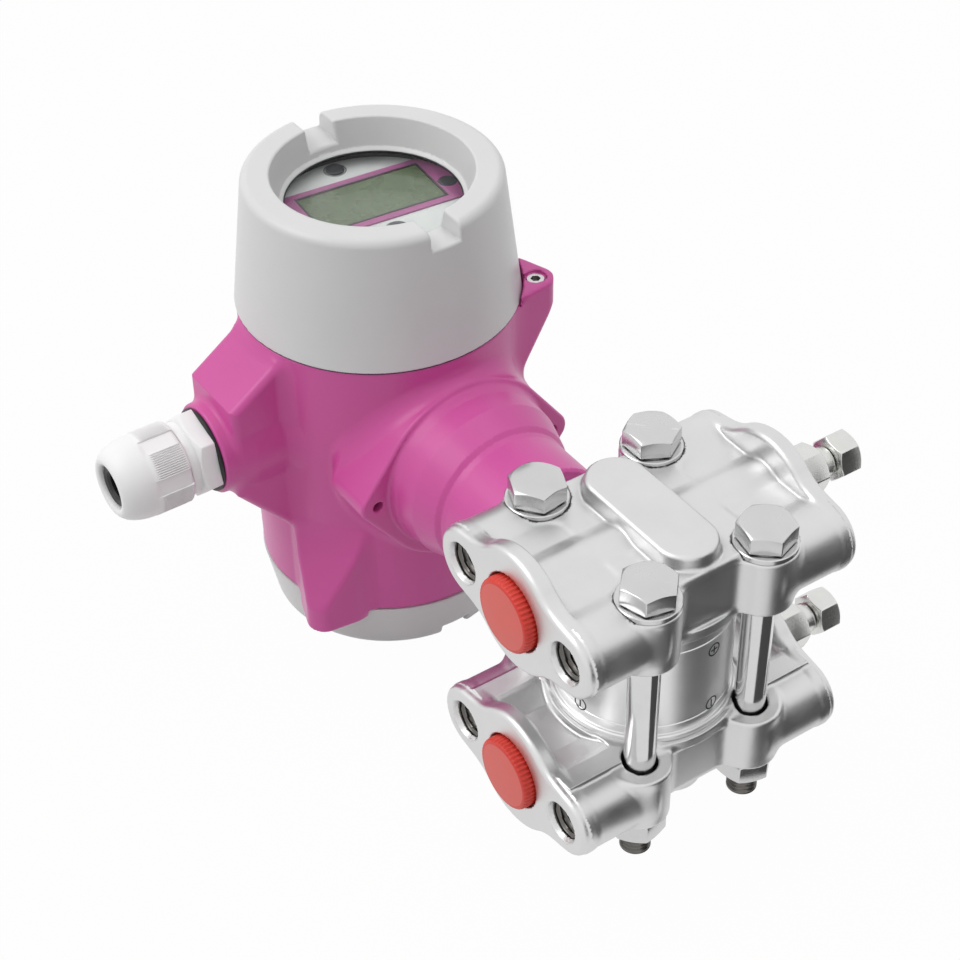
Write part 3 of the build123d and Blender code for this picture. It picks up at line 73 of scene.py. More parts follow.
def union(a: Array, b: Array, radius: float = 0.0) -> Array:
    """Joins two distances, with a fillet of the given radius.

    Args:
        a: Distances to the first shape in millimetres, negative inside.
        b: Distances to the second shape.
        radius: Fillet radius in millimetres.

    Returns:
        Distances to the joined shape.
    """
    if radius <= 0:
        return np.minimum(a, b)
    corner = np.hypot(np.maximum(radius - a, 0), np.maximum(radius - b, 0))
    return np.maximum(radius, np.minimum(a, b)) - corner


def common(a: Array, b: Array, radius: float = 0.0) -> Array:
    """Keeps what both shapes share, with its edge rounded."""
    return -union(-a, -b, radius)


def cut(a: Array, b: Array, radius: float = 0.0) -> Array:
    """Takes the second shape out of the first, with a rounded edge."""
    return -union(-a, b, radius)


def between(w: Array, start: float, end: float) -> Array:
    """Distance to the slab from start to end."""
    return np.abs(w - (start + end) / 2) - abs(end - start) / 2


def bar(
    radius: float, u: Array, v: Array, w: Array, start: float, end: float, edge: float = 0.0,
) -> Array:
    """Distance to a round bar along w with rounded end edges."""
    return common(np.hypot(u, v) - radius, between(w, start, end), edge)


def rectangle(u: Array, v: Array, half_u: float, half_v: float) -> Array:
    """Distance to a rectangle about the origin."""
    a, b = np.abs(u) - half_u, np.abs(v) - half_v
    return np.hypot(np.maximum(a, 0), np.maximum(b, 0)) + np.minimum(np.maximum(a, b), 0)


def polygon(u: Array, v: Array, corners: Sequence[tuple[float, float]]) -> Array:
    """Distance to a closed polygon.

    Args:
        u: First coordinates of the points.
        v: Second coordinates of the points.
        corners: Corners of the polygon in order.

    Returns:
        Distances, negative inside.
    """
    near = np.full(u.shape, 1e12)
    inside = np.zeros(u.shape, bool)
    for (au, av), (bu, bv) in zip(corners, [*corners[1:], corners[0]]):
        du, dv = bu - au, bv - av
        pu, pv = u - au, v - av
        t = np.clip((pu * du + pv * dv) / (du * du + dv * dv), 0, 1)
        near = np.minimum(near, (pu - t * du) ** 2 + (pv - t * dv) ** 2)
        crosses = (v >= min(av, bv)) & (v < max(av, bv))
        if dv:
            inside ^= crosses & (pu < du * pv / dv)
    return np.where(inside, -1, 1) * np.sqrt(near)


def capsule_plan(u: Array, v: Array, large: float, small: float, reach: float) -> Array:
    """Distance to the hull of a circle at the origin and a smaller one along +u."""
    v = np.abs(v)
    b = (large - small) / reach
    a = math.sqrt(1 - b * b)
    along = a * u - b * v
    near = np.hypot(u, v) - large
    far = np.hypot(u - reach, v) - small
    side = b * u + a * v - large
    return np.where(along < 0, near, np.where(along > a * reach, far, side))


# Meshes from distances


@dataclass
class Skin:
    """Meshes the zero surface of a distance.

    Attributes:
        low: Lowest corner of the box to search, in millimetres.
        high: Highest corner of the box.
        step: Grid step in millimetres.
        keep: Share of the faces to keep.
        block: Grid steps along a side of the blocks that are searched as one.
        batch: Blocks that are worked out at once.
    """

    low: Triple
    high: Triple
    step: float
    keep: float = 1.0
    block: int = 8
    batch: int = 1500

    def sample(self, shape: Field) -> Array:
        """Distances on the grid, worked out closely only near the surface.

        Args:
            shape: Distance of the shape.

        Returns:
            Grid of distances.
        """
        side = self.block
        size = side * self.step
        low = np.array(self.low, float)
        counts = np.ceil((np.array(self.high) - low) / size).astype(int)
        blocks = np.stack(np.meshgrid(*[np.arange(n) for n in counts], indexing="ij"), -1).reshape(-1, 3)
        coarse = shape(low + (blocks + 0.5) * size)
        grid = np.empty(counts * side, np.float32)
        cells = grid.reshape(counts[0], side, counts[1], side, counts[2], side).transpose(0, 2, 4, 1, 3, 5)
        cells[...] = np.where(coarse < 0, -1.0, 1.0).reshape(*counts, 1, 1, 1) * size
        close = blocks[np.abs(coarse) < 0.9 * size + 1.5]
        inner = np.stack(np.meshgrid(*[np.arange(side)] * 3, indexing="ij"), -1).reshape(-1, 3)
        for part in np.array_split(close, max(1, len(close) // self.batch)):
            points = low + (part[:, None] * side + inner[None]) * self.step
            values = shape(points.reshape(-1, 3)).reshape(-1, side, side, side)
            cells[part[:, 0], part[:, 1], part[:, 2]] = values
        return grid

    def net(self, grid: Array) -> tuple[Array, Array]:
        """Quads round the zero surface of the grid.

        Args:
            grid: Distances on the grid.

        Returns:
            Points in millimetres and the four corners of each quad.
        """
        inside = grid < 0
        ends = [slice(None, -1), slice(1, None)]
        corners = [inside[ends[i], ends[j], ends[k]] for i in (0, 1) for j in (0, 1) for k in (0, 1)]
        count = np.sum(corners, axis=0, dtype=np.int8)
        active = (count > 0) & (count < 8)
        number = np.full(active.shape, -1, np.int64)
        cells = np.argwhere(active)
        number[active] = np.arange(len(cells))
        total, hits = np.zeros((len(cells), 3)), np.zeros(len(cells))
        for axis in range(3):
            step = np.eye(3, dtype=int)[axis]
            others = [i for i in range(3) if i != axis]
            for shift in ((0, 0), (0, 1), (1, 0), (1, 1)):
                base = np.zeros(3, int)
                base[others] = shift
                a = grid[tuple((cells + base).T)]
                b = grid[tuple((cells + base + step).T)]
                crossing = (a < 0) != (b < 0)
                t = np.where(crossing, a / np.where(crossing, a - b, 1), 0)
                total[crossing] += base + t[crossing, None] * step
                hits[crossing] += 1
        points = np.array(self.low) + (cells + total / hits[:, None]) * self.step
        quads = []
        for axis in range(3):
            u, v = (axis + 1) % 3, (axis + 2) % 3
            lower = [slice(None)] * 3
            upper = [slice(None)] * 3
            lower[axis], upper[axis] = slice(None, -1), slice(1, None)
            edges = np.argwhere(inside[tuple(lower)] != inside[tuple(upper)])
            edges = edges[(edges[:, u] > 0) & (edges[:, v] > 0)]
            su, sv = np.eye(3, dtype=int)[u], np.eye(3, dtype=int)[v]
            ring = [number[tuple((edges - o).T)] for o in (0 * su, su, su + sv, sv)]
            quad = np.stack(ring, 1)
            leaving = inside[tuple(edges.T)]
            quad[~leaving] = quad[~leaving][:, ::-1]
            quads.append(quad)
        return points, np.concatenate(quads)

    def slope(self, shape: Field, points: Array) -> tuple[Array, Array]:
        """Distances and their gradients at the points.

        Args:
            shape: Distance of the shape.
            points: Points in millimetres.

        Returns:
            Distances and unit-length gradients.
        """
        gap = 0.04
        gradient = np.stack([shape(points + e) - shape(points - e) for e in np.eye(3) * gap], 1)
        gradient /= np.maximum(np.linalg.norm(gradient, axis=1, keepdims=True), 1e-9)
        return shape(points), gradient

    def mesh(self, name: str, shape: Field) -> Mesh:
        """Mesh of the shape, with its points on the surface and normals from it.

        Args:
            name: Name of the mesh.
            shape: Distance of the shape.

        Returns:
            The mesh, in metres.
        """
        points, quads = self.net(self.sample(shape))
        rough = mesh_from(name, points, quads)
        if self.keep < 1:
            rough = thinned(rough, self.keep)
        points = np.empty(len(rough.vertices) * 3)
        rough.vertices.foreach_get("co", points)
        points = points.reshape(-1, 3) / MM
        for _ in range(3):
            distance, gradient = self.slope(shape, points)
            points -= np.clip(distance, -self.step / 2, self.step / 2)[:, None] * gradient
        rough.vertices.foreach_set("co", (points * MM).ravel())
        gradient = self.slope(shape, points)[1]
        rough.shade_smooth()
        rough.normals_split_custom_set_from_vertices(gradient.tolist())
        rough.update()
        return rough


def mesh_from(name: str, points: Array, faces: Sequence[Sequence[int]]) -> Mesh:
    """Mesh from points in millimetres and faces."""
    mesh = bpy.data.meshes.new(name)
    listed = faces.tolist() if isinstance(faces, Array) else faces
    mesh.from_pydata((np.asarray(points) * MM).tolist(), [], listed)
    mesh.validate()
    mesh.update()
    return mesh


def applied(mesh: Mesh, add: Callable[[Object], None]) -> Mesh:
    """Mesh with modifiers put into it.

    Args:
        mesh: Mesh to change.
        add: Adds the modifiers to an object that shows the mesh.

    Returns:
        The changed mesh.
    """
    helper = bpy.data.objects.new(mesh.name + "_helper", mesh)
    bpy.context.scene.collection.objects.link(helper)
    add(helper)
    bpy.context.view_layer.update()
    result = bpy.data.meshes.new_from_object(helper.evaluated_get(bpy.context.evaluated_depsgraph_get()))
    name = mesh.name
    bpy.data.objects.remove(helper)
    bpy.data.meshes.remove(mesh)
    result.name = name
    return result


def thinned(mesh: Mesh, keep: float) -> Mesh:
    """Mesh with only this share of its faces."""

    def add(helper: Object) -> None:
        """Adds the modifier that merges faces."""
        helper.modifiers.new("thin", "DECIMATE").ratio = keep

    return applied(mesh, add)


# Turned and prismatic pieces


class Shell:
    """Points and faces of a piece while it is made, in millimetres."""

    def __init__(self) -> None:
        """Starts an empty shell."""
        self.points: list[Array] = []
        self.faces: list[list[int]] = []
        self.size = 0

    def rings(self, rings: Array, start: bool = True, end: bool = True, closed: bool = False) -> "Shell":
        """Joins rings of points one after another.

        Args:
            rings: Points by ring and by step round it.
            start: Whether the first ring is filled.
            end: Whether the last ring is filled.
            closed: Whether the last ring joins the first.

        Returns:
            This shell.
        """
        count, steps = rings.shape[:2]
        base = self.size
        self.points.append(rings.reshape(-1, 3))
        self.size += count * steps
        index = base + np.arange(count * steps).reshape(count, steps)
        for i in range(count if closed else count - 1):
            a, b = index[i], index[(i + 1) % count]
            quads = np.stack([a, np.roll(a, -1), np.roll(b, -1), b], 1)
            self.faces += quads.tolist()
        if start and not closed:
            self.faces.append(index[0][::-1].tolist())
        if end and not closed:
            self.faces.append(index[-1].tolist())
        return self

    def moved(self, matrix: Matrix) -> "Shell":
        """Copy of the shell, moved by a matrix in millimetres."""
        turn = np.array(matrix.to_3x3())
        other = Shell()
        points = np.concatenate(self.points) @ turn.T + np.array(matrix.translation)
        other.points, other.size = [points], self.size
        flip = np.linalg.det(turn) < 0
        other.faces = [f[::-1] if flip else list(f) for f in self.faces]
        return other

    def joined(self, others: Iterable["Shell"]) -> "Shell":
        """Adds other shells to this one."""
        for other in others:
            self.faces += [[i + self.size for i in f] for f in other.faces]
            self.points += other.points
            self.size += other.size
        return self

    def mesh(self, name: str, bevel: float = 0.0, sharp: float = 32.0) -> Mesh:
        """Mesh of the shell.

        Args:
            name: Name of the mesh.
            bevel: Width of the rounded edges in millimetres.
            sharp: Angle in degrees above which an edge is an edge.

        Returns:
            The mesh, in metres.
        """
        mesh = mesh_from(name, np.concatenate(self.points), self.faces)

        def add(helper: Object) -> None:
            """Adds the modifier that rounds the edges."""
            rounding = helper.modifiers.new("edges", "BEVEL")
            rounding.width, rounding.segments = bevel * MM, 2
            rounding.limit_method, rounding.angle_limit = "ANGLE", math.radians(sharp)

        if bevel:
            mesh = applied(mesh, add)
        mesh.shade_smooth()
        mesh.set_sharp_from_angle(angle=math.radians(40 if bevel else sharp))
        return mesh


def group(shells: Iterable[Shell]) -> Shell:
    """One shell made of several."""
    return Shell().joined(shells)


def circle(steps: int) -> Array:
    """Angles of even steps round a circle."""
    return 2 * math.pi * np.arange(steps) / steps


def around(radii: Array, height: Array | float) -> Array:
    """Ring of points about +Z, one for each radius."""
    angles = circle(len(radii))
    heights = np.broadcast_to(height, len(radii))
    return np.stack([radii * np.cos(angles), radii * np.sin(angles), heights], 1)


def turned(
    profile: Sequence[tuple[float, float]], steps: int = 128,
    start: bool = True, end: bool = True, closed: bool = False,
) -> Shell:
    """Turned shell about +Z from (radius, height) points.

    Args:
        profile: Radius and height along the outline, upwards on the outside.
        steps: Points round the axis.
        start: Whether the first ring is filled.
        end: Whether the last ring is filled.
        closed: Whether the profile closes on itself.

    Returns:
        The shell.
    """
    rings = [around(np.full(steps, radius), height) for radius, height in profile]
    return Shell().rings(np.array(rings), start, end, closed)


def tube(inner: float, outer: float, low: float, high: float, edge: float = 0.15, steps: int = 128) -> Shell:
    """Plain tube about +Z with small chamfers."""
    profile = [
        (inner + edge, low), (outer - edge, low), (outer, low + edge), (outer, high - edge),
        (outer - edge, high), (inner + edge, high), (inner, high - edge), (inner, low + edge),
    ]
    return turned(profile, steps, closed=True)


def hexagon(flats: float, low: float, high: float, chamfer_low: bool = False, bore: float = 0.0) -> Shell:
    """Hexagon about +Z whose upper corners are turned off.

    Args:
        flats: Width across the flats.
        low: Height of the lower face.
        high: Height of the upper face.
        chamfer_low: Whether the lower corners are turned off too.
        bore: Radius of the hole through it, zero for none.

    Returns:
        The shell.
    """
    steps = 192
    reach = flats / 2 / np.cos((circle(steps) + math.pi / 6) % (math.pi / 3) - math.pi / 6)
    land = flats / 2 * 0.95
    drop = (reach - land) * math.tan(math.radians(30))

    inner = bore or land * 0.3
    lower = [(land, low), (reach, low + drop)] if chamfer_low else [(reach, low)]
    rows = [(inner, low), *lower, (reach, high - drop), (land, high), (inner, high)]
    rings = [around(np.broadcast_to(radius, steps), height) for radius, height in rows]
    return Shell().rings(np.array(rings), not bore, not bore, closed=bool(bore))


def thread(radius: float, depth: float, pitch: float, low: float, high: float, inward: bool = False) -> Shell:
    """Threaded surface about +Z.

    Args:
        radius: Crest radius, or root radius of an inward thread.
        depth: Depth of the thread.
        pitch: Pitch of the thread.
        low: Height of its start.
        high: Height of its end.
        inward: Whether the thread is in a hole and faces the axis.

    Returns:
        The shell, open at both ends.
    """
    steps, rows = 64, max(8, int((high - low) / pitch * 8))
    angles = circle(steps)
    rings = []
    for row in range(rows + 1):
        height = low + (high - low) * row / rows
        phase = (height / pitch - angles / (2 * math.pi)) % 1.0
        ridge = np.abs(2 * phase - 1)
        fade = min(1.0, row / 6, (rows - row) / 6)
        rings.append(around(radius - depth * (1 - ridge) * fade, height))
    stack = np.array(rings)
    if inward:
        stack = stack[:, ::-1]
    return Shell().rings(stack, False, False)


def along(direction: Axis3, place: Triple, turn: float = 0.0) -> Matrix:
    """Matrix from a shell about +Z to a place and direction in the part.

    Args:
        direction: Where the shell's +Z points.
        place: Where the shell's origin goes, in millimetres.
        turn: Turn about the shell's own axis in degrees.

    Returns:
        The matrix, in millimetres.
    """
    turns = {
        Axis3.PLUS_X: Matrix.Rotation(math.pi / 2, 4, "Y"),
        Axis3.PLUS_Y: Matrix.Rotation(-math.pi / 2, 4, "X"),
        Axis3.MINUS_Y: Matrix.Rotation(math.pi / 2, 4, "X"),
        Axis3.PLUS_Z: Matrix.Identity(4),
        Axis3.MINUS_Z: Matrix.Rotation(math.pi, 4, "X"),
    }
    return Matrix.Translation(place) @ turns[direction] @ Matrix.Rotation(math.radians(turn), 4, "Z")


def on_axis(x: float = 0.0, y: float = 0.0) -> Matrix:
    """Matrix to the axis of the housing, or to a place beside it."""
    return along(Axis3.PLUS_Z, (HOUSING_X + x, MID_Y + y, 0))


# Finishes


def grey(tone: float) -> Colour:
    """Grey of a screen tone."""
    return (tone, tone, tone)


def linear(colour: Colour) -> tuple[float, float, float, float]:
    """Shader colour of a screen colour."""
    parts = [c / 12.92 if c <= 0.04045 else ((c + 0.055) / 1.055) ** 2.4 for c in colour]
    return (*parts, 1.0)


class Wiring:
    """Adds nodes to one node tree and links them."""

    def __init__(self, tree: NodeTree) -> None:
        """Takes the tree to work on."""
        self.tree = tree

    def node(self, kind: str, inputs: dict | None = None, **settings: object) -> Node:
        """Adds a node.

        Args:
            kind: Node type.
            inputs: Values or sockets by input name or number.
            settings: Properties of the node.

        Returns:
            The node.
        """
        made = self.tree.nodes.new(kind)
        for key, value in settings.items():
            setattr(made, key, value)
        for key, value in (inputs or {}).items():
            if isinstance(value, NodeSocket):
                self.tree.links.new(value, made.inputs[key])
            else:
                made.inputs[key].default_value = value
        return made

    def calc(self, operation: str, *values: object) -> NodeSocket:
        """Result of a math node on values or sockets."""
        return self.node("ShaderNodeMath", dict(enumerate(values)), operation=operation).outputs[0]

    def vector(self, operation: str, inputs: dict, output: int | str = 0) -> NodeSocket:
        """Result of a vector math node."""
        return self.node("ShaderNodeVectorMath", inputs, operation=operation).outputs[output]

    def mix(self, share: object, first: object, second: object, blend: str = "MIX") -> NodeSocket:
        """Mixed colour of two colours or sockets."""
        inputs = {0: share, 6: first, 7: second}
        return self.node("ShaderNodeMix", inputs, data_type="RGBA", blend_type=blend).outputs[2]

    def spread(
        self, value: object, low: float, high: float, to_low: float = 0.0, to_high: float = 1.0,
    ) -> NodeSocket:
        """Value moved from one range to another, clamped."""
        inputs = {0: value, 1: low, 2: high, 3: to_low, 4: to_high}
        return self.node("ShaderNodeMapRange", inputs).outputs[0]

    def place(self) -> NodeSocket:
        """Place on the object, in metres."""
        return self.node("ShaderNodeTexCoord").outputs["Object"]

    def noise(self, scale: object, detail: float, roughness: float = 0.5) -> NodeSocket:
        """Noise over the object, between 0 and 1."""
        inputs = {"Vector": self.place(), "Scale": scale, "Detail": detail, "Roughness": roughness}
        return self.node("ShaderNodeTexNoise", inputs).outputs["Fac"]

    def give(self, out: Node, **values: NodeSocket) -> None:
        """Links values to the outputs of a group."""
        for key, value in values.items():
            self.tree.links.new(value, out.inputs[key])


Build = Callable[[Wiring, Node, Node], None]
FLOAT, COLOUR, VECTOR = "NodeSocketFloat", "NodeSocketColor", "NodeSocketVector"


class Effect:
    """A shared shader effect, kept as one node group."""

    def __init__(
        self, name: str, inputs: dict[str, tuple[str, float]], outputs: dict[str, str], build: Build,
    ) -> None:
        """Makes the group once.

        Args:
            name: Name of the group.
            inputs: Input names with their kind and standing value.
            outputs: Output names with their kind.
            build: Adds the nodes between the group's input and output nodes.
        """
        self.tree = bpy.data.node_groups.new(name, "ShaderNodeTree")
        for key, (kind, value) in inputs.items():
            socket = self.tree.interface.new_socket(key, in_out="INPUT", socket_type=kind)
            if kind == FLOAT:
                socket.default_value = value
        for key, kind in outputs.items():
            self.tree.interface.new_socket(key, in_out="OUTPUT", socket_type=kind)
        wiring = Wiring(self.tree)
        build(wiring, wiring.node("NodeGroupInput"), wiring.node("NodeGroupOutput"))

    def place(self, wiring: Wiring, inputs: dict[str, object]) -> Node:
        """Puts the effect in a material with its own values."""
        return wiring.node("ShaderNodeGroup", inputs, node_tree=self.tree)


def build_grain(w: Wiring, given: Node, out: Node) -> None:
    """Fine even grain with a coarser one under it."""
    frequency = w.calc("DIVIDE", 1 / MM, given.outputs["Grain size"])
    fine = w.noise(frequency, 2.0)
    coarse = w.noise(w.calc("MULTIPLY", frequency, 0.21), 3.0)
    height = w.calc("ADD", fine, w.calc("MULTIPLY", coarse, given.outputs["Undulation"]))
    w.give(out, Height=height, Mask=fine)


def build_drift(w: Wiring, given: Node, out: Node) -> None:
    """Slow change of tone over the surface."""
    frequency = w.calc("DIVIDE", 1 / MM, given.outputs["Patch size"])
    level = w.spread(w.noise(frequency, 4.0, 0.62), 0.3, 0.7, -1.0, 1.0)
    factor = w.calc("ADD", 1.0, w.calc("MULTIPLY", level, given.outputs["Amount"]))
    tone = w.node("ShaderNodeCombineColor", {0: factor, 1: factor, 2: factor}).outputs[0]
    w.give(out, Colour=w.mix(1.0, given.outputs["Colour"], tone, "MULTIPLY"), Level=level)


def build_edge_wear_and_highlight(w: Wiring, given: Node, out: Node) -> None:
    """Broken mask along outer edges, for wear and for a painted edge highlight."""
    edge = w.spread(w.node("ShaderNodeNewGeometry").outputs["Pointiness"], 0.52, 0.6)
    broken = w.spread(w.noise(420.0, 5.0), 0.38, 0.6)
    w.give(out, Mask=w.calc("MULTIPLY", w.calc("MULTIPLY", edge, broken), given.outputs["Strength"]))


def build_shade_and_dust(w: Wiring, given: Node, out: Node) -> None:
    """Mask of corners where dust and handling dirt gather and where shade falls, from ambient occlusion; it
    paints that shade into the colour.
    """
    reach = w.calc("MULTIPLY", given.outputs["Reach"], MM)
    hidden = w.node("ShaderNodeAmbientOcclusion", {"Distance": reach}, samples=4, only_local=True)
    # Darker where the corner is occluded: painted shade, broken up by noise for dirt.
    corner = w.spread(hidden.outputs["AO"], 0.35, 0.95, 1.0, 0.0)
    broken = w.spread(w.noise(260.0, 4.0), 0.3, 0.7, 0.45, 1.0)
    w.give(out, Mask=w.calc("MULTIPLY", w.calc("MULTIPLY", corner, broken), given.outputs["Strength"]))


def build_marks(w: Wiring, given: Node, out: Node) -> None:
    """Fine concentric tool marks about an axis."""
    axis = given.outputs["Axis"]
    offset = w.vector("SUBTRACT", {0: w.place(), 1: given.outputs["Centre"]})
    length = w.vector("DOT_PRODUCT", {0: offset, 1: axis}, "Value")
    across = w.vector("SUBTRACT", {0: offset, 1: w.vector("SCALE", {0: axis, "Scale": length})})
    radius = w.vector("LENGTH", {0: across}, "Value")
    spacing = w.calc("MULTIPLY", given.outputs["Spacing"], MM)
    turn = w.calc("DIVIDE", w.calc("ADD", radius, length), spacing)
    noise = w.node("ShaderNodeTexNoise", {"W": turn, "Scale": 1.0, "Detail": 3.0}, noise_dimensions="1D")
    w.give(out, Height=noise.outputs["Fac"])


GRAIN = Effect(
    "surface_grain", {"Grain size": (FLOAT, 0.5), "Undulation": (FLOAT, 0.5)},
    {"Height": FLOAT, "Mask": FLOAT}, build_grain,
)
DRIFT = Effect(
    "tone_drift", {"Colour": (COLOUR, 0), "Patch size": (FLOAT, 20.0), "Amount": (FLOAT, 0.05)},
    {"Colour": COLOUR, "Level": FLOAT}, build_drift,
)
EDGE_WEAR_AND_HIGHLIGHT = Effect("edge_wear_and_highlight", {"Strength": (FLOAT, 0.3)}, {"Mask": FLOAT}, build_edge_wear_and_highlight)
SHADE_AND_DUST = Effect("corner_shade_and_dust", {"Reach": (FLOAT, 3.0), "Strength": (FLOAT, 0.3)}, {"Mask": FLOAT}, build_shade_and_dust)
MARKS = Effect(
    "tool_marks", {"Centre": (VECTOR, 0), "Axis": (VECTOR, 0), "Spacing": (FLOAT, 0.2)},
    {"Height": FLOAT}, build_marks,
)


def empty_material(name: str) -> tuple[Material, Wiring]:
    """New material without nodes, and the wiring to add them."""
    made = bpy.data.materials.new(name)
    made.use_nodes = True
    made.node_tree.nodes.clear()
    return made, Wiring(made.node_tree)


@dataclass(frozen=True)
class Finish:
    """Surface of a piece.

    Attributes:
        name: Name of the material.
        colour: Screen colour of the clean surface.
        metallic: 1 for bare metal, 0 otherwise.
        roughness: Plain roughness.
        grain_mm: Size of the surface grain.
        relief: Strength of the grain, 0 to 1.
        drift: Share by which the tone changes.
        patch_mm: Size of the tone patches.
        wear_and_highlight: Strength of the lighter outer edges, partly wear and partly painted highlight.
        wear_and_highlight_colour: Screen colour of an outer edge, partly worn and partly a painted highlight.
        shade_and_dust: Strength of the darker corners: painted shade, with some dirt.
        shade_and_dust_colour: Screen colour of the corners, a painted shade tone with some dirt.
        shade_and_dust_reach: How far the painted shade and dirt reach out of a corner.
        coat: Weight of a clear top layer.
        marks_axis: Axis of the tool marks, none if all zero.
        marks_centre: Point on that axis in millimetres.
        marks_mm: Spacing of the tool marks.
        opacity: Opacity in a plain view.
    """

    name: str
    colour: Colour
    metallic: float = 0.0
    roughness: float = 0.4
    grain_mm: float = 0.4
    relief: float = 0.1
    drift: float = 0.03
    patch_mm: float = 18.0
    # Lighter outer edges and their colour: wear with a painted highlight.
    wear_and_highlight: float = 0.2
    wear_and_highlight_colour: Colour = grey(0.9)
    # Corner darkening, with its colour and reach: painted shade with some dirt.
    shade_and_dust: float = 0.3
    shade_and_dust_colour: Colour = (0.2, 0.19, 0.18)
    shade_and_dust_reach: float = 2.0
    coat: float = 0.0
    marks_axis: tuple[float, float, float] = (0, 0, 0)
    marks_centre: tuple[float, float, float] = (0, 0, 0)
    marks_mm: float = 0.15
    opacity: float = 1.0

    def material(self) -> Material:
        """The finish as a material, made once."""
        name = f"{self.name}_finish"
        made = bpy.data.materials.get(name)
        if not made:
            made, wiring = empty_material(name)
            made.diffuse_color = (*linear(self.colour)[:3], self.opacity)
            self.wire(wiring)
        return made

    def drifting(self, w: Wiring) -> Node:
        """Adds the colour with its slow change of tone."""
        inputs = {"Colour": linear(self.colour), "Patch size": self.patch_mm, "Amount": self.drift}
        return DRIFT.place(w, inputs)

    def wire(self, w: Wiring) -> None:
        """Adds the nodes of the material."""
        drift = self.drifting(w)
        colour = drift.outputs["Colour"]
        # Lightens outer edges towards the edge colour: partly wear, partly painted highlight.
        if self.wear_and_highlight:
            worn_and_lit_edge = EDGE_WEAR_AND_HIGHLIGHT.place(w, {"Strength": self.wear_and_highlight}).outputs["Mask"]
            colour = w.mix(worn_and_lit_edge, colour, linear(self.wear_and_highlight_colour))
        # Darkens occluded corners towards the corner colour: painted shade, with some dirt.
        if self.shade_and_dust:
            corner = SHADE_AND_DUST.place(w, {"Reach": self.shade_and_dust_reach, "Strength": self.shade_and_dust}).outputs["Mask"]
            colour = w.mix(corner, colour, linear(self.shade_and_dust_colour))
        height = GRAIN.place(w, {"Grain size": self.grain_mm, "Undulation": 0.5}).outputs["Height"]
        if any(self.marks_axis):
            centre = tuple(c * MM for c in self.marks_centre)
            marks = MARKS.place(w, {"Centre": centre, "Axis": self.marks_axis, "Spacing": self.marks_mm})
            height = w.calc("ADD", w.calc("MULTIPLY", height, 0.3), marks.outputs["Height"])
        bump = w.node("ShaderNodeBump", {"Height": height, "Strength": self.relief, "Distance": 0.1 * MM})
        rough = w.calc("ADD", self.roughness, w.calc("MULTIPLY", drift.outputs["Level"], 0.05))
        shader = w.node("ShaderNodeBsdfPrincipled", {
            "Base Color": colour, "Roughness": rough, "Metallic": self.metallic,
            "Normal": bump.outputs["Normal"], "Coat Weight": self.coat, "Coat Roughness": 0.15,
        })
        w.node("ShaderNodeOutputMaterial", {"Surface": shader.outputs[0]})


@dataclass(frozen=True)
class ClearGlass(Finish):
    """Clear window glass with faint smears."""

    def wire(self, w: Wiring) -> None:
        """Adds the nodes of the glass."""
        drift = self.drifting(w)
        rough = w.spread(drift.outputs["Level"], -1.0, 1.0, 0.0, self.roughness)
        shader = w.node("ShaderNodeBsdfPrincipled", {
            "Base Color": drift.outputs["Colour"], "Roughness": rough, "Metallic": 0.0,
            "Transmission Weight": 1.0, "IOR": 1.3,
        })
        shadow = w.node("ShaderNodeBsdfTransparent", {"Color": linear(self.colour)})
        light = w.node("ShaderNodeLightPath").outputs["Is Shadow Ray"]
        mixed = w.node("ShaderNodeMixShader", {0: light, 1: shader.outputs[0], 2: shadow.outputs[0]})
        w.node("ShaderNodeOutputMaterial", {"Surface": mixed.outputs[0]})


# Finishes of the pieces, in the order colour, metallic, roughness, grain, relief, drift, patch, edge wear
# with painted highlight, its colour, painted corner shade with dirt, its colour, its reach and coat

# Light edge colour of the steel pieces: wear with a painted highlight.
STEEL_WEAR_AND_HIGHLIGHT = grey(0.92)
UP_THE_MIDDLE = {"marks_axis": (0, 0, 1), "marks_centre": (0, MID_Y, 0)}
# Cast steel: the dark corner colour is painted shade under the lugs and in corners, with some dirt, and the
# light edge colour is partly a painted highlight.
CAST_STEEL = Finish(
    "cast_steel", grey(0.87), 1.0, 0.38, 0.35, 0.16, 0.03, 14.0, 0.3, STEEL_WEAR_AND_HIGHLIGHT, 0.6, grey(0.26), 3.0,
)
CAPSULE_STEEL = Finish(
    "capsule_steel", grey(0.95), 1.0, 0.36, 0.3, 0.22, 0.03, 16.0, 0.25, STEEL_WEAR_AND_HIGHLIGHT,
    marks_mm=0.3, **UP_THE_MIDDLE,
)
BOLT_STEEL = Finish("bolt_steel", grey(0.82), 1.0, 0.24, 0.5, 0.08, 0.03, 9.0, 0.4, STEEL_WEAR_AND_HIGHLIGHT, 0.35)
BRIGHT_SHANK = Finish("bright_shank", grey(0.85), 1.0, 0.13, 0.8, 0.05, 0.03, 9.0, 0.1, STEEL_WEAR_AND_HIGHLIGHT, 0.2)
VENT_STEEL = Finish("vent_steel", (0.87, 0.87, 0.86), 1.0, 0.26, 0.4, 0.1, 0.04, 8.0, 0.4, STEEL_WEAR_AND_HIGHLIGHT, 0.35)
THREAD_STEEL = Finish(
    "thread_steel", (0.42, 0.41, 0.4), 1.0, 0.3, 0.3, 0.1, 0.05, 6.0, 0.3, (0.8, 0.8, 0.78), 0.4,
)
# Dark colour of the blind hole bottoms: painted shade deep in the holes.
HOLE_BOTTOM_SHADE = Finish("hole_bottom_shade", grey(0.2), 1.0, 0.42, 0.3, 0.1, 0.05, 6.0, 0.0)
SMALL_SCREW = Finish("small_screw", (0.84, 0.83, 0.83), 1.0, 0.3, 0.3, 0.1, 0.04, 5.0, 0.4, STEEL_WEAR_AND_HIGHLIGHT, 0.5)
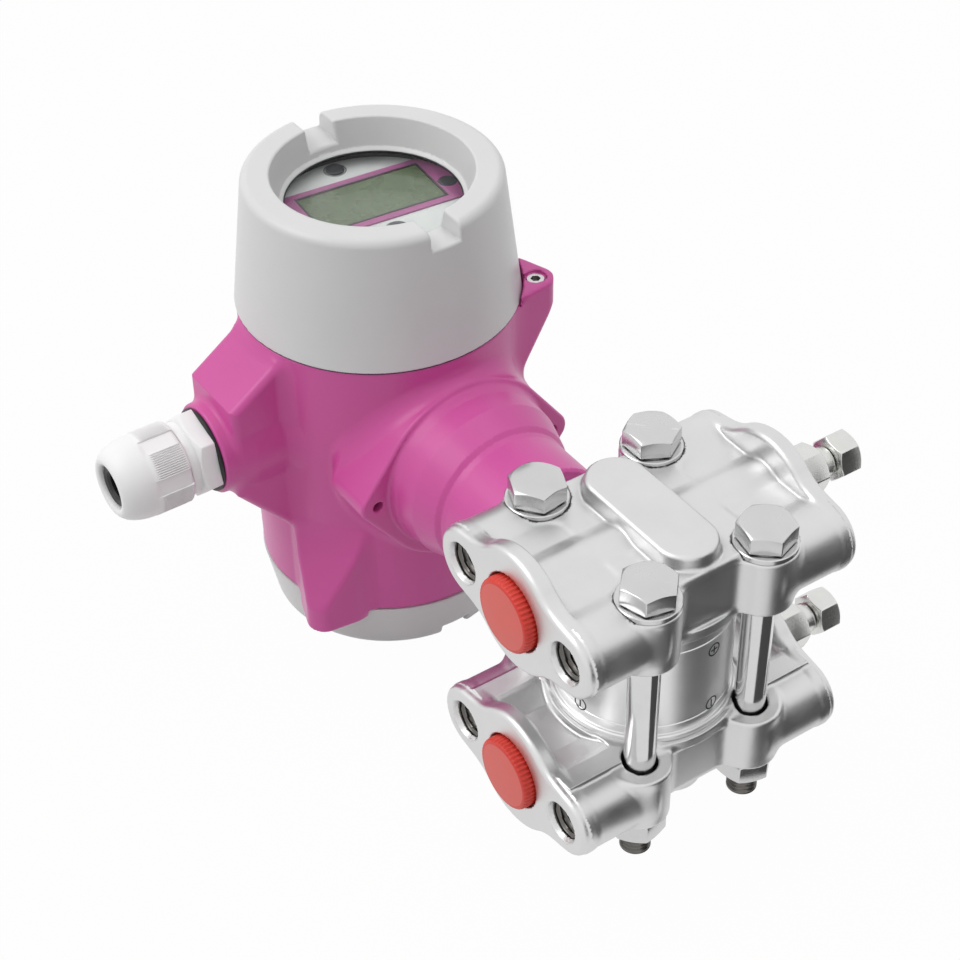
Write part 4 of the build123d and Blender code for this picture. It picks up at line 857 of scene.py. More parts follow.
# Housing paint: the pale pink edge colour is partly a painted highlight, and the plum corner colour is
# painted shade with some dirt.
HOUSING_PAINT = Finish(
    "housing_paint", (0.84, 0.33, 0.64), 0.0, 0.36, 0.55, 0.16, 0.02, 30.0, 0.12, (0.9, 0.5, 0.72),
    0.22, (0.42, 0.08, 0.28), 2.5, 0.08,
)
# Cover paint: the near-white edge colour is partly a painted highlight, and the grey corner colour is painted
# shade with some dirt.
COVER_PAINT = Finish(
    "cover_paint", grey(0.875), 0.0, 0.34, 0.6, 0.14, 0.015, 30.0, 0.1, grey(0.93),
    0.25, grey(0.45), 2.0, 0.06,
)
SEAM_RUBBER = Finish("seam_rubber", (0.07, 0.07, 0.12), 0.0, 0.5, 0.4, 0.1, 0.1, 10.0, 0.0, shade_and_dust=0.0)
RUBBER = Finish("rubber", grey(0.06), 0.0, 0.45, 0.3, 0.15, 0.1, 10.0, 0.15, grey(0.25), 0.0)
# Gland plastic: the grey corner colour is painted shade with some dirt.
GLAND_PLASTIC = Finish(
    "gland_plastic", grey(0.98), 0.0, 0.42, 0.4, 0.08, 0.012, 14.0, 0.1, grey(0.98), 0.3, grey(0.62), 1.2,
)
# Cap plastic: the lighter red edge colour is partly a painted highlight, and the dark red corner colour is
# painted shade with some dirt.
CAP_PLASTIC = Finish(
    "cap_plastic", (0.87, 0.22, 0.17), 0.0, 0.4, 0.35, 0.1, 0.04, 6.0, 0.2, (0.96, 0.5, 0.42),
    0.35, (0.5, 0.08, 0.05), 1.0,
)
# Paler copy of the cap red for its flat front face: painted light on the face that meets the key lamp.
LIT_CAP_FACE = Finish("lit_cap_face", (0.90, 0.41, 0.38), 0.0, 0.5, 0.3, 0.08, 0.03, 5.0, 0.0, shade_and_dust=0.0)
PLATE_PLASTIC = Finish("plate_plastic", grey(0.80), 0.0, 0.5, 0.25, 0.06, 0.015, 12.0, 0.0, shade_and_dust=0.1)
BAND_PRINT = Finish("band_print", (0.62, 0.32, 0.52), 0.0, 0.45, 0.25, 0.06, 0.02, 10.0, 0.0, shade_and_dust=0.1)
# Panel film: the darker corner colour paints the shade of the window well on the panel, with some dirt.
LCD_FILM = Finish(
    "lcd_film", (0.31, 0.36, 0.25), 0.0, 0.28, 0.3, 0.03, 0.035, 9.0, 0.0,
    shade_and_dust=0.35, shade_and_dust_colour=(0.3, 0.34, 0.2), shade_and_dust_reach=3.0, coat=0.4,
)
DARK_PLASTIC = Finish(
    "dark_plastic", (0.13, 0.13, 0.14), 0.0, 0.5, 0.3, 0.12, 0.06, 9.0, 0.2, (0.3, 0.3, 0.31),
)
BUTTON_PRINT = Finish(
    "button_print", (0.22, 0.22, 0.24), 0.0, 0.45, 0.2, 0.06, 0.04, 5.0, 0.1, (0.4, 0.4, 0.42),
)
MODULE_PLASTIC = Finish(
    "module_plastic", (0.20, 0.27, 0.33), 0.0, 0.48, 0.5, 0.1, 0.04, 12.0, 0.15, (0.4, 0.45, 0.5),
)
TERMINAL_PLASTIC = Finish(
    "terminal_plastic", (0.16, 0.30, 0.22), 0.0, 0.45, 0.4, 0.1, 0.04, 9.0, 0.15, (0.4, 0.5, 0.42),
)
BRASS = Finish(
    "terminal_brass", (0.80, 0.68, 0.42), 1.0, 0.28, 0.3, 0.1, 0.05, 4.0, 0.4, (0.95, 0.88, 0.66), 0.5,
)
SPRING_STEEL = Finish("spring_steel", (0.38, 0.38, 0.4), 1.0, 0.3, 0.4, 0.1, 0.05, 8.0, 0.2)
DIAPHRAGM_STEEL = Finish(
    "diaphragm_steel", (0.84, 0.83, 0.80), 1.0, 0.2, 0.5, 0.12, 0.03, 10.0, 0.1,
    marks_mm=0.5, **UP_THE_MIDDLE,
)
MARK_PRINT = Finish("mark_print", (0.16, 0.16, 0.17), 0.0, 0.5, 0.2, 0.1, 0.08, 4.0, 0.0, shade_and_dust=0.0)
WINDOW_GLASS = ClearGlass("window_glass", (0.97, 0.98, 0.975), roughness=0.03, drift=0.01, opacity=0.3)


def install(mesh: Mesh, finish: Finish, body: str, stands_for: Sequence[str] = ()) -> Object:
    """Puts a mesh in the scene as a piece of the transmitter.

    Args:
        mesh: Mesh in metres, in place.
        finish: Finish of the piece.
        body: Body that it rides on.
        stands_for: Nodes that it replaces.

    Returns:
        The piece.
    """
    piece = bpy.data.objects.new(mesh.name, mesh)
    bpy.context.scene.collection.objects.link(piece)
    mesh.materials.clear()
    mesh.materials.append(finish.material())
    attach(piece, body)
    if stands_for:
        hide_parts(*stands_for)
    log.info("%s: %d faces on %s", mesh.name, len(mesh.polygons), body)
    return piece


def dress(finish: Finish, *nodes: str) -> None:
    """Gives carried-over nodes their finish."""
    for node in nodes:
        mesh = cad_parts[node].data
        mesh.materials.clear()
        mesh.materials.append(finish.material())
        log.info("%s: kept, with %s", node, finish.name)


# Sub-assemblies


@dataclass
class ProcessFlanges:
    """The two cast flanges with their threads, all in millimetres.

    Attributes:
        length: Length along Y.
        joint_z: Height of the joint with the capsule.
        facet_z: Height of the flat top of the casting.
        tube_x: Distance of the side tubes from the middle.
        tube_radius: Radius of the side tubes.
        lobe_radius: Radius of the middle lobe of an end plate.
        plate: Thickness of an end plate.
        bolt_x: Distance of the bolts from the middle along X.
        bolt_y: Distance of the bolts from the middle along Y.
        lug_radius: Radius of a bolt lug.
        web_x: Half the width between the lugs.
        rib_z: Height of the middle of the shallow rib.
        rib_radius: Radius of that rib.
        hub_radius: Radius of the round seat of the capsule.
        trough: Half width, half width of the roof and depth of the trough beside the capsule.
        boss: Half length, end radius and height of the stadium boss.
        hole_radius: Radius of a fixing hole.
        pocket_radius: Radius of the pocket round a port.
        port_radius: Radius of a port.
        bolt_hole: Radius of a bolt hole.
    """

    length: float = 80.4
    joint_z: float = 16.8
    facet_z: float = 34.8
    tube_x: float = 20.65
    tube_radius: float = 9.3
    lobe_radius: float = 17.0
    plate: float = 5.1
    bolt_x: float = 21.75
    bolt_y: float = 17.4
    lug_radius: float = 8.1
    web_x: float = 22.6
    rib_z: float = 28.9
    rib_radius: float = 7.8
    hub_radius: float = 24.6
    trough: Triple = (14.5, 7.0, 1.9)
    boss: Triple = (13.0, 8.0, 5.2)
    hole_radius: float = 5.05
    pocket_radius: float = 10.1
    port_radius: float = 5.75
    bolt_hole: float = 4.6

    def casting(self, p: Array) -> Array:
        """Distance to the rough casting of the upper flange."""
        x, y, z = p.T
        side, end = np.abs(x), np.abs(y - MID_Y)
        half, low, top = self.length / 2, self.joint_z, self.facet_z
        flank = np.hypot(side - self.tube_x, z - PORT_Z) - self.tube_radius
        middle = (low + top) / 2
        section = union(rectangle(x, z - middle, self.tube_x, top - middle), flank, 1.2)
        section = union(section, np.hypot(x, z - self.rib_z) - self.rib_radius, 1.2)
        core = common(section, end - half + self.plate / 2)
        core = cut(core, common(self.web_x - side, end - self.bolt_y), 0.8)
        foot, roof, depth = self.trough
        arch = [(foot, low - 9), (foot, low), (roof, low + depth)]
        trough = polygon(x, z, [(-u, v) for u, v in arch] + arch[::-1])
        core = cut(core, common(trough, 21.5 - end), 0.3)
        lug = np.hypot(side - self.bolt_x, end - self.bolt_y) - self.lug_radius
        plan = union(rectangle(x, y - MID_Y, self.web_x, self.bolt_y), lug, 3.5)
        lugs = common(plan, between(z, low + 1.5, top), 0.9)
        hub = common(np.hypot(x, y - MID_Y) - self.hub_radius, between(z, low, low + 3.2), 0.5)
        body = union(union(core, lugs, 1.6), hub, 1.2)
        reach, radius, height = self.boss
        draft = math.radians(9)
        oval = rectangle(x, y - MID_Y, reach, 0.0) - radius - (top + height - z) * math.tan(draft)
        boss = common(oval * math.cos(draft), between(z, top - 4, top + height), 1.1)
        body = union(body, boss, 0.9)
        lobes = union(np.hypot(x, z - PORT_Z) - self.lobe_radius, flank, 7.0)
        plate = common(lobes, np.abs(end - half + self.plate / 2) - self.plate / 2, 1.6)
        return union(body, plate, 1.0)

    def upper(self, p: Array) -> Array:
        """Distance to the machined upper flange."""
        x, y, z = p.T
        side, end = np.abs(x), np.abs(y - MID_Y)
        half = self.length / 2
        shape = self.casting(p)
        hole = np.hypot(side - self.tube_x, z - PORT_Z)
        lead = self.hole_radius + np.clip(end - half + 1.3, 0, 1.3) * 0.45
        shape = cut(shape, common(hole - lead, half - 15.0 - end), 0.25)
        port = np.hypot(x, z - PORT_Z)
        shape = cut(shape, common(port - self.pocket_radius, y - 3.0), 0.3)
        shape = cut(shape, common(port - self.port_radius, half - 14.0 - end), 0.3)
        bolt = np.hypot(side - self.bolt_x, end - self.bolt_y)
        shape = cut(shape, bolt - self.bolt_hole, 0.3)
        shape = cut(shape, common(bolt - self.lug_radius, self.facet_z - z), 0.2)
        return cut(shape, common(np.hypot(x, y - MID_Y) - 15.0, z - self.joint_z - 0.8), 0.2)

    def build(self) -> None:
        """Builds both flanges and the threads of their fixing holes."""
        skin = Skin((-32, -2, 8), (32, 83, 46), 0.5, 0.6)
        upper = skin.mesh("upper_flange_casting", self.upper)
        lower = self.mirrored(upper, "lower_flange_casting")
        install(upper, CAST_STEEL, BLOCK, ["upper_flange"])
        install(lower, CAST_STEEL, BLOCK, ["lower_flange"])
        holes, bottoms = [], []
        for x in (-self.tube_x, self.tube_x):
            for z in (-PORT_Z, PORT_Z):
                for y, direction in ((0, Axis3.PLUS_Y), (self.length, Axis3.MINUS_Y)):
                    place = along(direction, (x, y, z))
                    holes.append(thread(5.03, 0.75, 1.5, 1.4, 14.8, inward=True).moved(place))
                    bottoms.append(turned([(4.9, 14.7), (0.2, 14.9)], 48, start=False).moved(place))
        install(group(holes).mesh("fixing_hole_threads"), THREAD_STEEL, BLOCK)
        # The hole bottoms get a dark colour: painted shade deep in the fixing holes.
        install(group(bottoms).mesh("fixing_hole_bottoms"), HOLE_BOTTOM_SHADE, BLOCK)

    def mirrored(self, mesh: Mesh, name: str) -> Mesh:
        """Copy of a mesh on the other side of the capsule, with its normals."""
        normals = [Vector((n.vector.x, n.vector.y, -n.vector.z)) for n in mesh.vertex_normals]
        copy = mesh.copy()
        copy.name = name
        copy.transform(Matrix.Scale(-1, 4, (0, 0, 1)))
        copy.flip_normals()
        copy.normals_split_custom_set_from_vertices(normals)
        return copy


@dataclass
class ClampingBolts:
    """Four bolts with washers and nuts through both flanges."""

    pitch_x: float = 43.5
    pitch_y: float = 34.8
    facet_z: float = 34.8
    radius: float = 4.0
    flats: float = 13.0
    washer: float = 1.6
    nut: float = 6.5
    tail: float = 7.6
    turns: tuple[float, float, float, float] = (8.0, 31.0, 47.0, 19.0)

    def build(self) -> None:
        """Builds heads, shanks, threaded ends, washers and nuts."""
        heads, shanks, ends, washers, nuts = [], [], [], [], []
        low, top = -self.facet_z - self.nut - self.tail, self.facet_z + self.washer
        places = [(i * self.pitch_x / 2, MID_Y + j * self.pitch_y / 2) for i in (-1, 1) for j in (-1, 1)]
        for (x, y), turn in zip(places, self.turns):
            seat = along(Axis3.PLUS_Z, (x, y, top), turn)
            heads.append(hexagon(self.flats, 0.35, 5.3).moved(seat))
            heads.append(turned([(6.1, 0.0), (6.1, 0.4)], 96).moved(seat))
            place = along(Axis3.PLUS_Z, (x, y, 0))
            shanks.append(turned([(self.radius, -self.facet_z), (self.radius, top)], 96).moved(place))
            ends.append(thread(self.radius, 0.55, 1.25, low + 0.6, -self.facet_z + 0.4).moved(place))
            ends.append(turned([(2.9, low), (3.5, low + 0.75)], 64, end=False).moved(place))
            washers.append(tube(4.6, 8.0, self.facet_z, top, 0.25).moved(place))
            nut = hexagon(self.flats, 0.0, self.nut, chamfer_low=True, bore=4.05)
            nuts.append(nut.moved(along(Axis3.MINUS_Z, (x, y, -self.facet_z), turn)))
        install(group(heads).mesh("bolt_heads", 0.22), BOLT_STEEL, BLOCK, ["flange_bolts"])
        install(group(shanks).mesh("bolt_shanks"), BRIGHT_SHANK, BLOCK)
        install(group(ends).mesh("bolt_thread_ends"), THREAD_STEEL, BLOCK)
        install(group(washers).mesh("plain_washers"), BOLT_STEEL, BLOCK, ["bolt_washers"])
        install(group(nuts).mesh("hexagon_nuts", 0.2), BOLT_STEEL, BLOCK, ["flange_nuts"])


@dataclass
class SensorCapsule:
    """Measuring capsule, its plus and minus marks and the parts behind it."""

    radius: float = 22.4
    rim_radius: float = 23.4
    height: float = 33.6
    marks: tuple[tuple[float, float, bool], ...] = (
        (9.6, 8.1, True), (11.1, -10.5, False), (-80.7, 8.1, True), (-80.7, -10.7, False),
    )

    def mark(self, angle: float, z: float, plus: bool) -> Shell:
        """Round mark wrapped on the capsule.

        Args:
            angle: Where it stands, in degrees about Z.
            z: Height of its centre.
            plus: Whether it has the upright stroke too.

        Returns:
            The shell.
        """
        shell = Shell()
        turns = 2 * math.pi * np.arange(48) / 48
        inner, outer, lift = 1.62, 1.98, 0.05
        corners = ((inner, 0.0), (inner, lift), (outer, lift), (outer, 0.0))
        rings = [self.wrapped(angle, z, r * np.cos(turns), r * np.sin(turns), up) for r, up in corners]
        shell.rings(np.array(rings), False, False)
        strokes = [(0.2, 1.1), (1.1, 0.2)] if plus else [(0.2, 1.1)]
        for half_u, half_v in strokes:
            u = np.array([-half_u, half_u, half_u, -half_u])
            v = np.array([-half_v, -half_v, half_v, half_v])
            shell.rings(np.array([self.wrapped(angle, z, u, v, up) for up in (0.0, lift)]))
        return shell

    def wrapped(self, angle: float, z: float, u: Array, v: Array, lift: float) -> Array:
        """Points of a flat drawing wrapped round the capsule."""
        reach = self.radius + lift
        turn = math.radians(angle) + u / self.radius
        return np.stack([reach * np.cos(turn), MID_Y + reach * np.sin(turn), z + v], 1)

    def build(self) -> None:
        """Builds the capsule body and its marks and dresses the hidden pieces."""
        half, r, rim = self.height / 2, self.radius, self.rim_radius
        upper = [
            (r, half - 5.1), (r - 0.22, half - 4.9), (r - 0.22, half - 4.6), (r, half - 4.4),
            (r, half - 2.05), (r + 0.25, half - 1.8), (rim - 0.3, half - 1.8), (rim, half - 1.5),
            (rim, half - 0.3), (rim - 0.3, half), (0.1, half),
        ]
        profile = [(radius, -height) for radius, height in upper[::-1]] + upper
        shell = turned(profile, 192).moved(along(Axis3.PLUS_Z, (0, MID_Y, 0)))
        install(shell.mesh("capsule_body"), CAPSULE_STEEL, BLOCK, ["sensor_capsule"])
        marks = group(self.mark(*mark) for mark in self.marks)
        install(marks.mesh("capsule_marks"), MARK_PRINT, BLOCK)
        dress(DIAPHRAGM_STEEL, "upper_diaphragm", "lower_diaphragm")
        dress(RUBBER, "upper_capsule_seal", "lower_capsule_seal", "stem_seal")
        dress(CAPSULE_STEEL, "sensor_stem")
        dress(SPRING_STEEL, "stem_retaining_ring")


@dataclass
class Vents:
    """Vent plugs and needles at the back of both ports."""

    start: float = 80.4
    body_length: float = 12.3
    neck_length: float = 3.9
    cap_length: float = 6.8
    body_flats: float = 12.0
    cap_flats: float = 11.0

    def build(self) -> None:
        """Builds the plugs and the needles, upper and lower."""
        top = self.body_length + self.neck_length
        reach = top + 0.3
        for label, z in (("upper", PORT_Z), ("lower", -PORT_Z)):
            place = along(Axis3.PLUS_Y, (0, self.start, z))
            body = hexagon(self.body_flats, 0.3, self.body_length)
            body = body.moved(along(Axis3.PLUS_Y, (0, self.start, z), 19.0))
            profile = [(5.7, -10.9), (5.7, 0.4), (4.1, 0.4), (4.1, top - 0.4), (3.7, top), (2.7, top)]
            plug = group([body, turned(profile, 96).moved(place)]).mesh(f"{label}_vent_body", 0.25)
            install(plug, VENT_STEEL, BLOCK, [f"{label}_vent_plug"])
            cap = hexagon(self.cap_flats, 0.0, self.cap_length, chamfer_low=True)
            cap = cap.moved(along(Axis3.PLUS_Y, (0, self.start + reach, z), 42.0))
            stem = turned([(0.6, reach - 20.0), (2.55, reach - 18.2), (2.55, reach)], 64).moved(place)
            needle = group([cap, stem]).mesh(f"{label}_vent_needle", 0.25)
            install(needle, VENT_STEEL, f"{label}_vent_stem", [f"{label}_vent_stem"])


@dataclass
class PortCaps:
    """Serrated red transport caps in the front ports."""

    radius: float = 9.7
    proud: float = 2.8
    grips: int = 48

    def cap(self) -> Shell:
        """One cap about +Z, which points out of the port."""
        angles = circle(self.grips * 8)
        wave = 0.5 + 0.5 * np.cos(angles * self.grips)
        r, top = self.radius, self.proud
        rows = [
            (r - 0.5, -2.6, 0.0), (r, -2.3, 0.25), (r, top - 1.3, 0.3), (r - 0.12, top - 0.65, 0.25),
            (r - 0.4, top - 0.25, 0.1), (r - 0.8, top - 0.06, 0.0), (r - 1.2, top - 0.02, 0.0),
            (0.5, top - 0.02, 0.0),
        ]
        rings = [around(radius - depth * wave, height) for radius, height, depth in rows]
        plug = turned([(4.9, -12.0), (5.4, -11.4), (5.4, -2.4)], 64, end=False)
        return Shell().rings(np.array(rings)).joined([plug])

    def build(self) -> None:
        """Builds both caps."""
        r, top = self.radius, self.proud
        for label, z in (("upper", PORT_Z), ("lower", -PORT_Z)):
            node = f"{label}_port_cap"
            place = along(Axis3.MINUS_Y, (0, 0, z))
            cap = self.cap().moved(place).mesh(f"{label}_red_cap", sharp=50)
            install(cap, CAP_PLASTIC, node, [node])
            # The flat front face gets the paler copy of the cap red: painted light.
            face = turned([(r - 1.25, top - 0.02), (r - 1.4, top), (0.5, top)], 96, start=False)
            install(face.moved(place).mesh(f"{label}_lit_cap_face"), LIT_CAP_FACE, node)


@dataclass
class Housing:
    """Cast and painted housing with its neck, cable entry and lock lugs."""

    top_z: float = 33.5
    bottom_z: float = -51.6
    top_radius: float = 39.0
    bottom_radius: float = 37.6
    neck_top_z: float = 45.5
    neck_bottom_z: float = -62.5
    front_neck_radius: float = 35.0
    rear_neck_radius: float = 33.5
    bay_radii: Triple = (31.0, 24.0, 29.8)
    ear_y: float = 28.5
    entry_z: float = 3.7
    lock_angle: float = 57.9
    lock_reach: float = 43.2
    sections: tuple[str, ...] = (
        "housing", "housing_entry", "housing_partition", "housing_front_bay", "housing_rear_bay",
        "housing_neck",
    )

    def entry(self, hx: Array, q: Array, z: Array) -> Array:
        """Distance to the cable entry.

        Args:
            hx: Distance from the housing axis along X.
            q: Distance from the housing axis outwards.
            z: Height.

        Returns:
            Distances to the sloped block and its nose.
        """
        corners = [(53.7, 20.8), (39.0, 31.0), (20.2, 31.0), (20.2, -25.0), (39.0, -25.0), (53.7, -8.0)]
        block = common(polygon(q, z, corners), np.abs(hx) - 12.0, 2.2)
        nose = np.hypot(hx, z - self.entry_z) - (12.9 + np.clip(57.4 - q, 0, 9.2) * 0.1)
        return union(block, common(nose, between(q, 20.0, 57.4), 0.7), 1.5)

    def lug(self, hx: Array, hy: Array, z: Array) -> Array:
        """Distance to a lock lug whose screw points up."""
        turn = math.radians(self.lock_angle)
        a = hx * math.cos(turn) + hy * math.sin(turn)
        b = np.abs(hy * math.cos(turn) - hx * math.sin(turn))
        side = polygon(a, z, [(34.0, 6.0), (34.0, 36.1), (48.4, 36.1), (48.4, 28.1), (36.6, 6.0)])
        return common(side, capsule_plan(a - 34.0, b, 11.0, 5.2, 9.2), 1.0)

    def outside(self, p: Array) -> Array:
        """Distance to the outside of the casting."""
        x, y, z = p.T
        hx, hy = x - HOUSING_X, y - MID_Y
        slant = (self.top_radius - self.bottom_radius) / (self.top_z - self.bottom_z)
        wall = self.bottom_radius + (z - self.bottom_z) * slant
        body = common(np.hypot(hx, hy) - wall, between(z, self.bottom_z, self.top_z), 0.6)
        neck = polygon(x, np.hypot(hy, z), [
            (-94.8, -60.0), (-94.8, 25.2), (-77.6, 25.2), (-75.0, 24.5), (-69.0, 24.0), (-61.6, 21.6),
            (-60.4, 20.5), (-58.4, 20.2), (-42.8, 20.2), (-42.0, 19.4), (-42.0, -60.0),
        ])
        pad = capsule_plan(np.abs(hy), z + 1.5, 27.8, 5.0, self.ear_y)
        pad = common(pad, between(x, -94.8, -78.2), 1.0)
        shape = union(body, union(pad, neck, 0.8), 4.5)
        shape = union(shape, self.entry(hx, -hy, z), 3.5)
        shape = union(shape, self.lug(hx, hy, z), 3.0)
        shape = union(shape, self.lug(hx, -hy, -z - 18.1), 3.0)
        return union(shape, bar(5.5, hy, z + 8.0, hx, -40.6, -34.0, 0.6), 1.2)

    def casting(self, p: Array) -> Array:
        """Distance to the finished casting with its bays, necks and holes."""
        x, y, z = p.T
        hx, hy = x - HOUSING_X, y - MID_Y
        r = np.hypot(hx, hy)
        front, partition, rear = self.bay_radii
        shape = self.outside(p)
        shape = cut(shape, common(r - 39.8, self.top_z - z), 0.2)
        shape = cut(shape, common(r - 38.3, z - self.bottom_z), 0.2)
        shape = union(shape, common(r - self.front_neck_radius, between(z, 25.0, self.neck_top_z), 0.5))
        shape = union(shape, common(r - self.rear_neck_radius, between(z, self.neck_bottom_z, -45.0), 0.5))
        shape = cut(shape, common(r - front, 19.0 - z), 0.3)
        shape = cut(shape, common(r - partition, between(z, -17.0, 19.5)), 0.3)
        shape = cut(shape, common(r - rear, z + 21.0), 0.3)
        shape = cut(shape, common(np.hypot(hy, z) - 15.05, -hx), 0.2)
        shape = cut(shape, common(np.hypot(hx, z - self.entry_z) - 9.2, 28.2 + hy), 0.3)
        ears = np.hypot(np.abs(hy) - self.ear_y, z + 1.5)
        shape = cut(shape, common(ears - 1.6, between(x, -85.2, -70.0)), 0.25)
        turn = math.radians(self.lock_angle)
        lock_x, lock_y = self.lock_reach * math.cos(turn), self.lock_reach * math.sin(turn)
        lock = np.hypot(hx - lock_x, hy - lock_y)
        shape = cut(shape, common(lock - 2.45, 24.0 - z), 0.2)
        shape = cut(shape, common(lock - 3.0, 35.2 - z), 0.2)
        shape = cut(shape, common(np.hypot(hx - lock_x, hy + lock_y) - 2.45, z + 44.0), 0.2)
        return cut(shape, bar(2.5, x + 54.0, hy, z, -25.0, -12.0), 0.2)

    def build(self) -> None:
        """Builds the casting and dresses its screws and seals."""
        casting = Skin((-163, -20, -65), (-40, 84, 48), 0.6, 0.42).mesh("housing_casting", self.casting)
        install(casting, HOUSING_PAINT, "housing", list(self.sections))
        dress(SMALL_SCREW, "front_lock_screw", "rear_lock_screw", "neck_set_screw", "earth_screws")
        seam = tube(35.4, 39.15, 33.52, 33.78, 0.05, 192).moved(on_axis())
        install(seam.mesh("seam_ring"), SEAM_RUBBER, "housing")
        dress(RUBBER, "front_cover_seal")


def slot_cut(hx: Array, hy: Array, depth: Array) -> Array:
    """Distance to the two wrench slots of a cover, which end at depth zero."""
    return common(common(np.abs(hy) - 4.3, depth), 22.0 - np.abs(hx))


@dataclass
class DisplayCover:
    """Screwed cover with a sunk rim, two wrench slots and the glass."""

    seam_z: float = 33.8
    top_z: float = 71.7
    skirt_radius: float = 39.4
    top_radius: float = 34.9
    opening: float = 24.0
    pane_z: tuple[float, float] = (57.4, 62.4)
    pane_radius: float = 29.95

    def shape(self, p: Array) -> Array:
        """Distance to the cover."""
        x, y, z = p.T
        hx, hy = x - HOUSING_X, y - MID_Y
        r = np.hypot(hx, hy)
        lean = (self.skirt_radius - self.top_radius) / (self.top_z - self.seam_z)
        wall = (r - self.skirt_radius + (z - self.seam_z) * lean) / math.hypot(1, lean)
        shape = common(common(wall, z - self.top_z, 2.2), self.seam_z - z, 0.35)
        well = [(self.opening, 60.0), (self.opening, 62.9), (25.0, 63.7), (27.3, 71.7), (28.3, 80.0)]
        shape = cut(shape, polygon(r, z, [(-40, 60.0), *well, (-40, 80.0)]), 0.4)
        floor = 65.8 + (np.abs(hx) - 25.7) * 0.095
        shape = cut(shape, slot_cut(hx, hy, floor - z), 0.8)
        inside = [(35.05, 20.0), (35.05, 46.5), (33.0, 46.5), (30.1, 54.4), (30.1, self.pane_z[1])]
        return cut(shape, polygon(r, z, [(-40, 20.0), *inside, (-40, self.pane_z[1])]), 0.15)

    def build(self) -> None:
        """Builds the cover, its sealing ring and the glass."""
        cover = Skin((-162, -1, 32), (-80, 82, 74), 0.5, 0.62).mesh("display_cover_cast", self.shape)
        install(cover, COVER_PAINT, "display_cover", ["display_cover"])
        (low, high), radius = self.pane_z, self.pane_radius
        outer, inner, seat = self.opening + 0.05, self.opening - 0.3, high + 0.02
        profile = [(outer, seat), (outer, high + 0.35), (inner, high + 0.2), (inner, seat)]
        gasket = turned(profile, 192, closed=True).moved(on_axis())
        install(gasket.mesh("window_gasket"), RUBBER, "window")
        profile = [
            (0.5, low), (radius - 0.35, low), (radius, low + 0.35),
            (radius, high - 0.35), (radius - 0.35, high), (0.5, high),
        ]
        pane = turned(profile, 192).moved(on_axis())
        install(pane.mesh("window_pane"), WINDOW_GLASS, "window", ["cover_window"])
        bond = tube(radius + 0.02, radius + 0.12, low + 0.1, high - 0.1, 0.02, 192).moved(on_axis())
        install(bond.mesh("window_bond"), RUBBER, "window")
        dress(DARK_PLASTIC, "window_retainer")


@dataclass
class TerminalCover:
    """Screwed blind cover at the bottom, with its seal."""

    seam_z: float = -51.9
    bottom_z: float = -68.4
    skirt_radius: float = 37.9
    bottom_radius: float = 34.6

    def shape(self, p: Array) -> Array:
        """Distance to the cover."""
        x, y, z = p.T
        hx, hy = x - HOUSING_X, y - MID_Y
        r = np.hypot(hx, hy)
        lean = (self.skirt_radius - self.bottom_radius) / (self.seam_z - self.bottom_z)
        wall = (r - self.bottom_radius - (z - self.bottom_z) * lean) / math.hypot(1, lean)
        shape = common(common(wall, self.bottom_z - z, 2.2), z - self.seam_z, 0.35)
        shape = cut(shape, common(r - 27.4, z + 63.8), 0.7)
        shape = cut(shape, slot_cut(hx, hy, z + 64.8), 0.8)
        inside = [(29.2, -60.4), (29.2, -63.0), (33.55, -63.0), (33.55, -40.0)]
        return cut(shape, polygon(r, z, [(-40, -60.4), *inside, (-40, -40.0)]), 0.15)

    def build(self) -> None:
        """Builds the cover and dresses its seal."""
        cover = Skin((-160, 1, -70), (-81, 80, -50), 0.6, 0.7).mesh("terminal_cover_cast", self.shape)
        install(cover, COVER_PAINT, "terminal_cover", ["terminal_cover"])
        dress(RUBBER, "terminal_cover_seal")


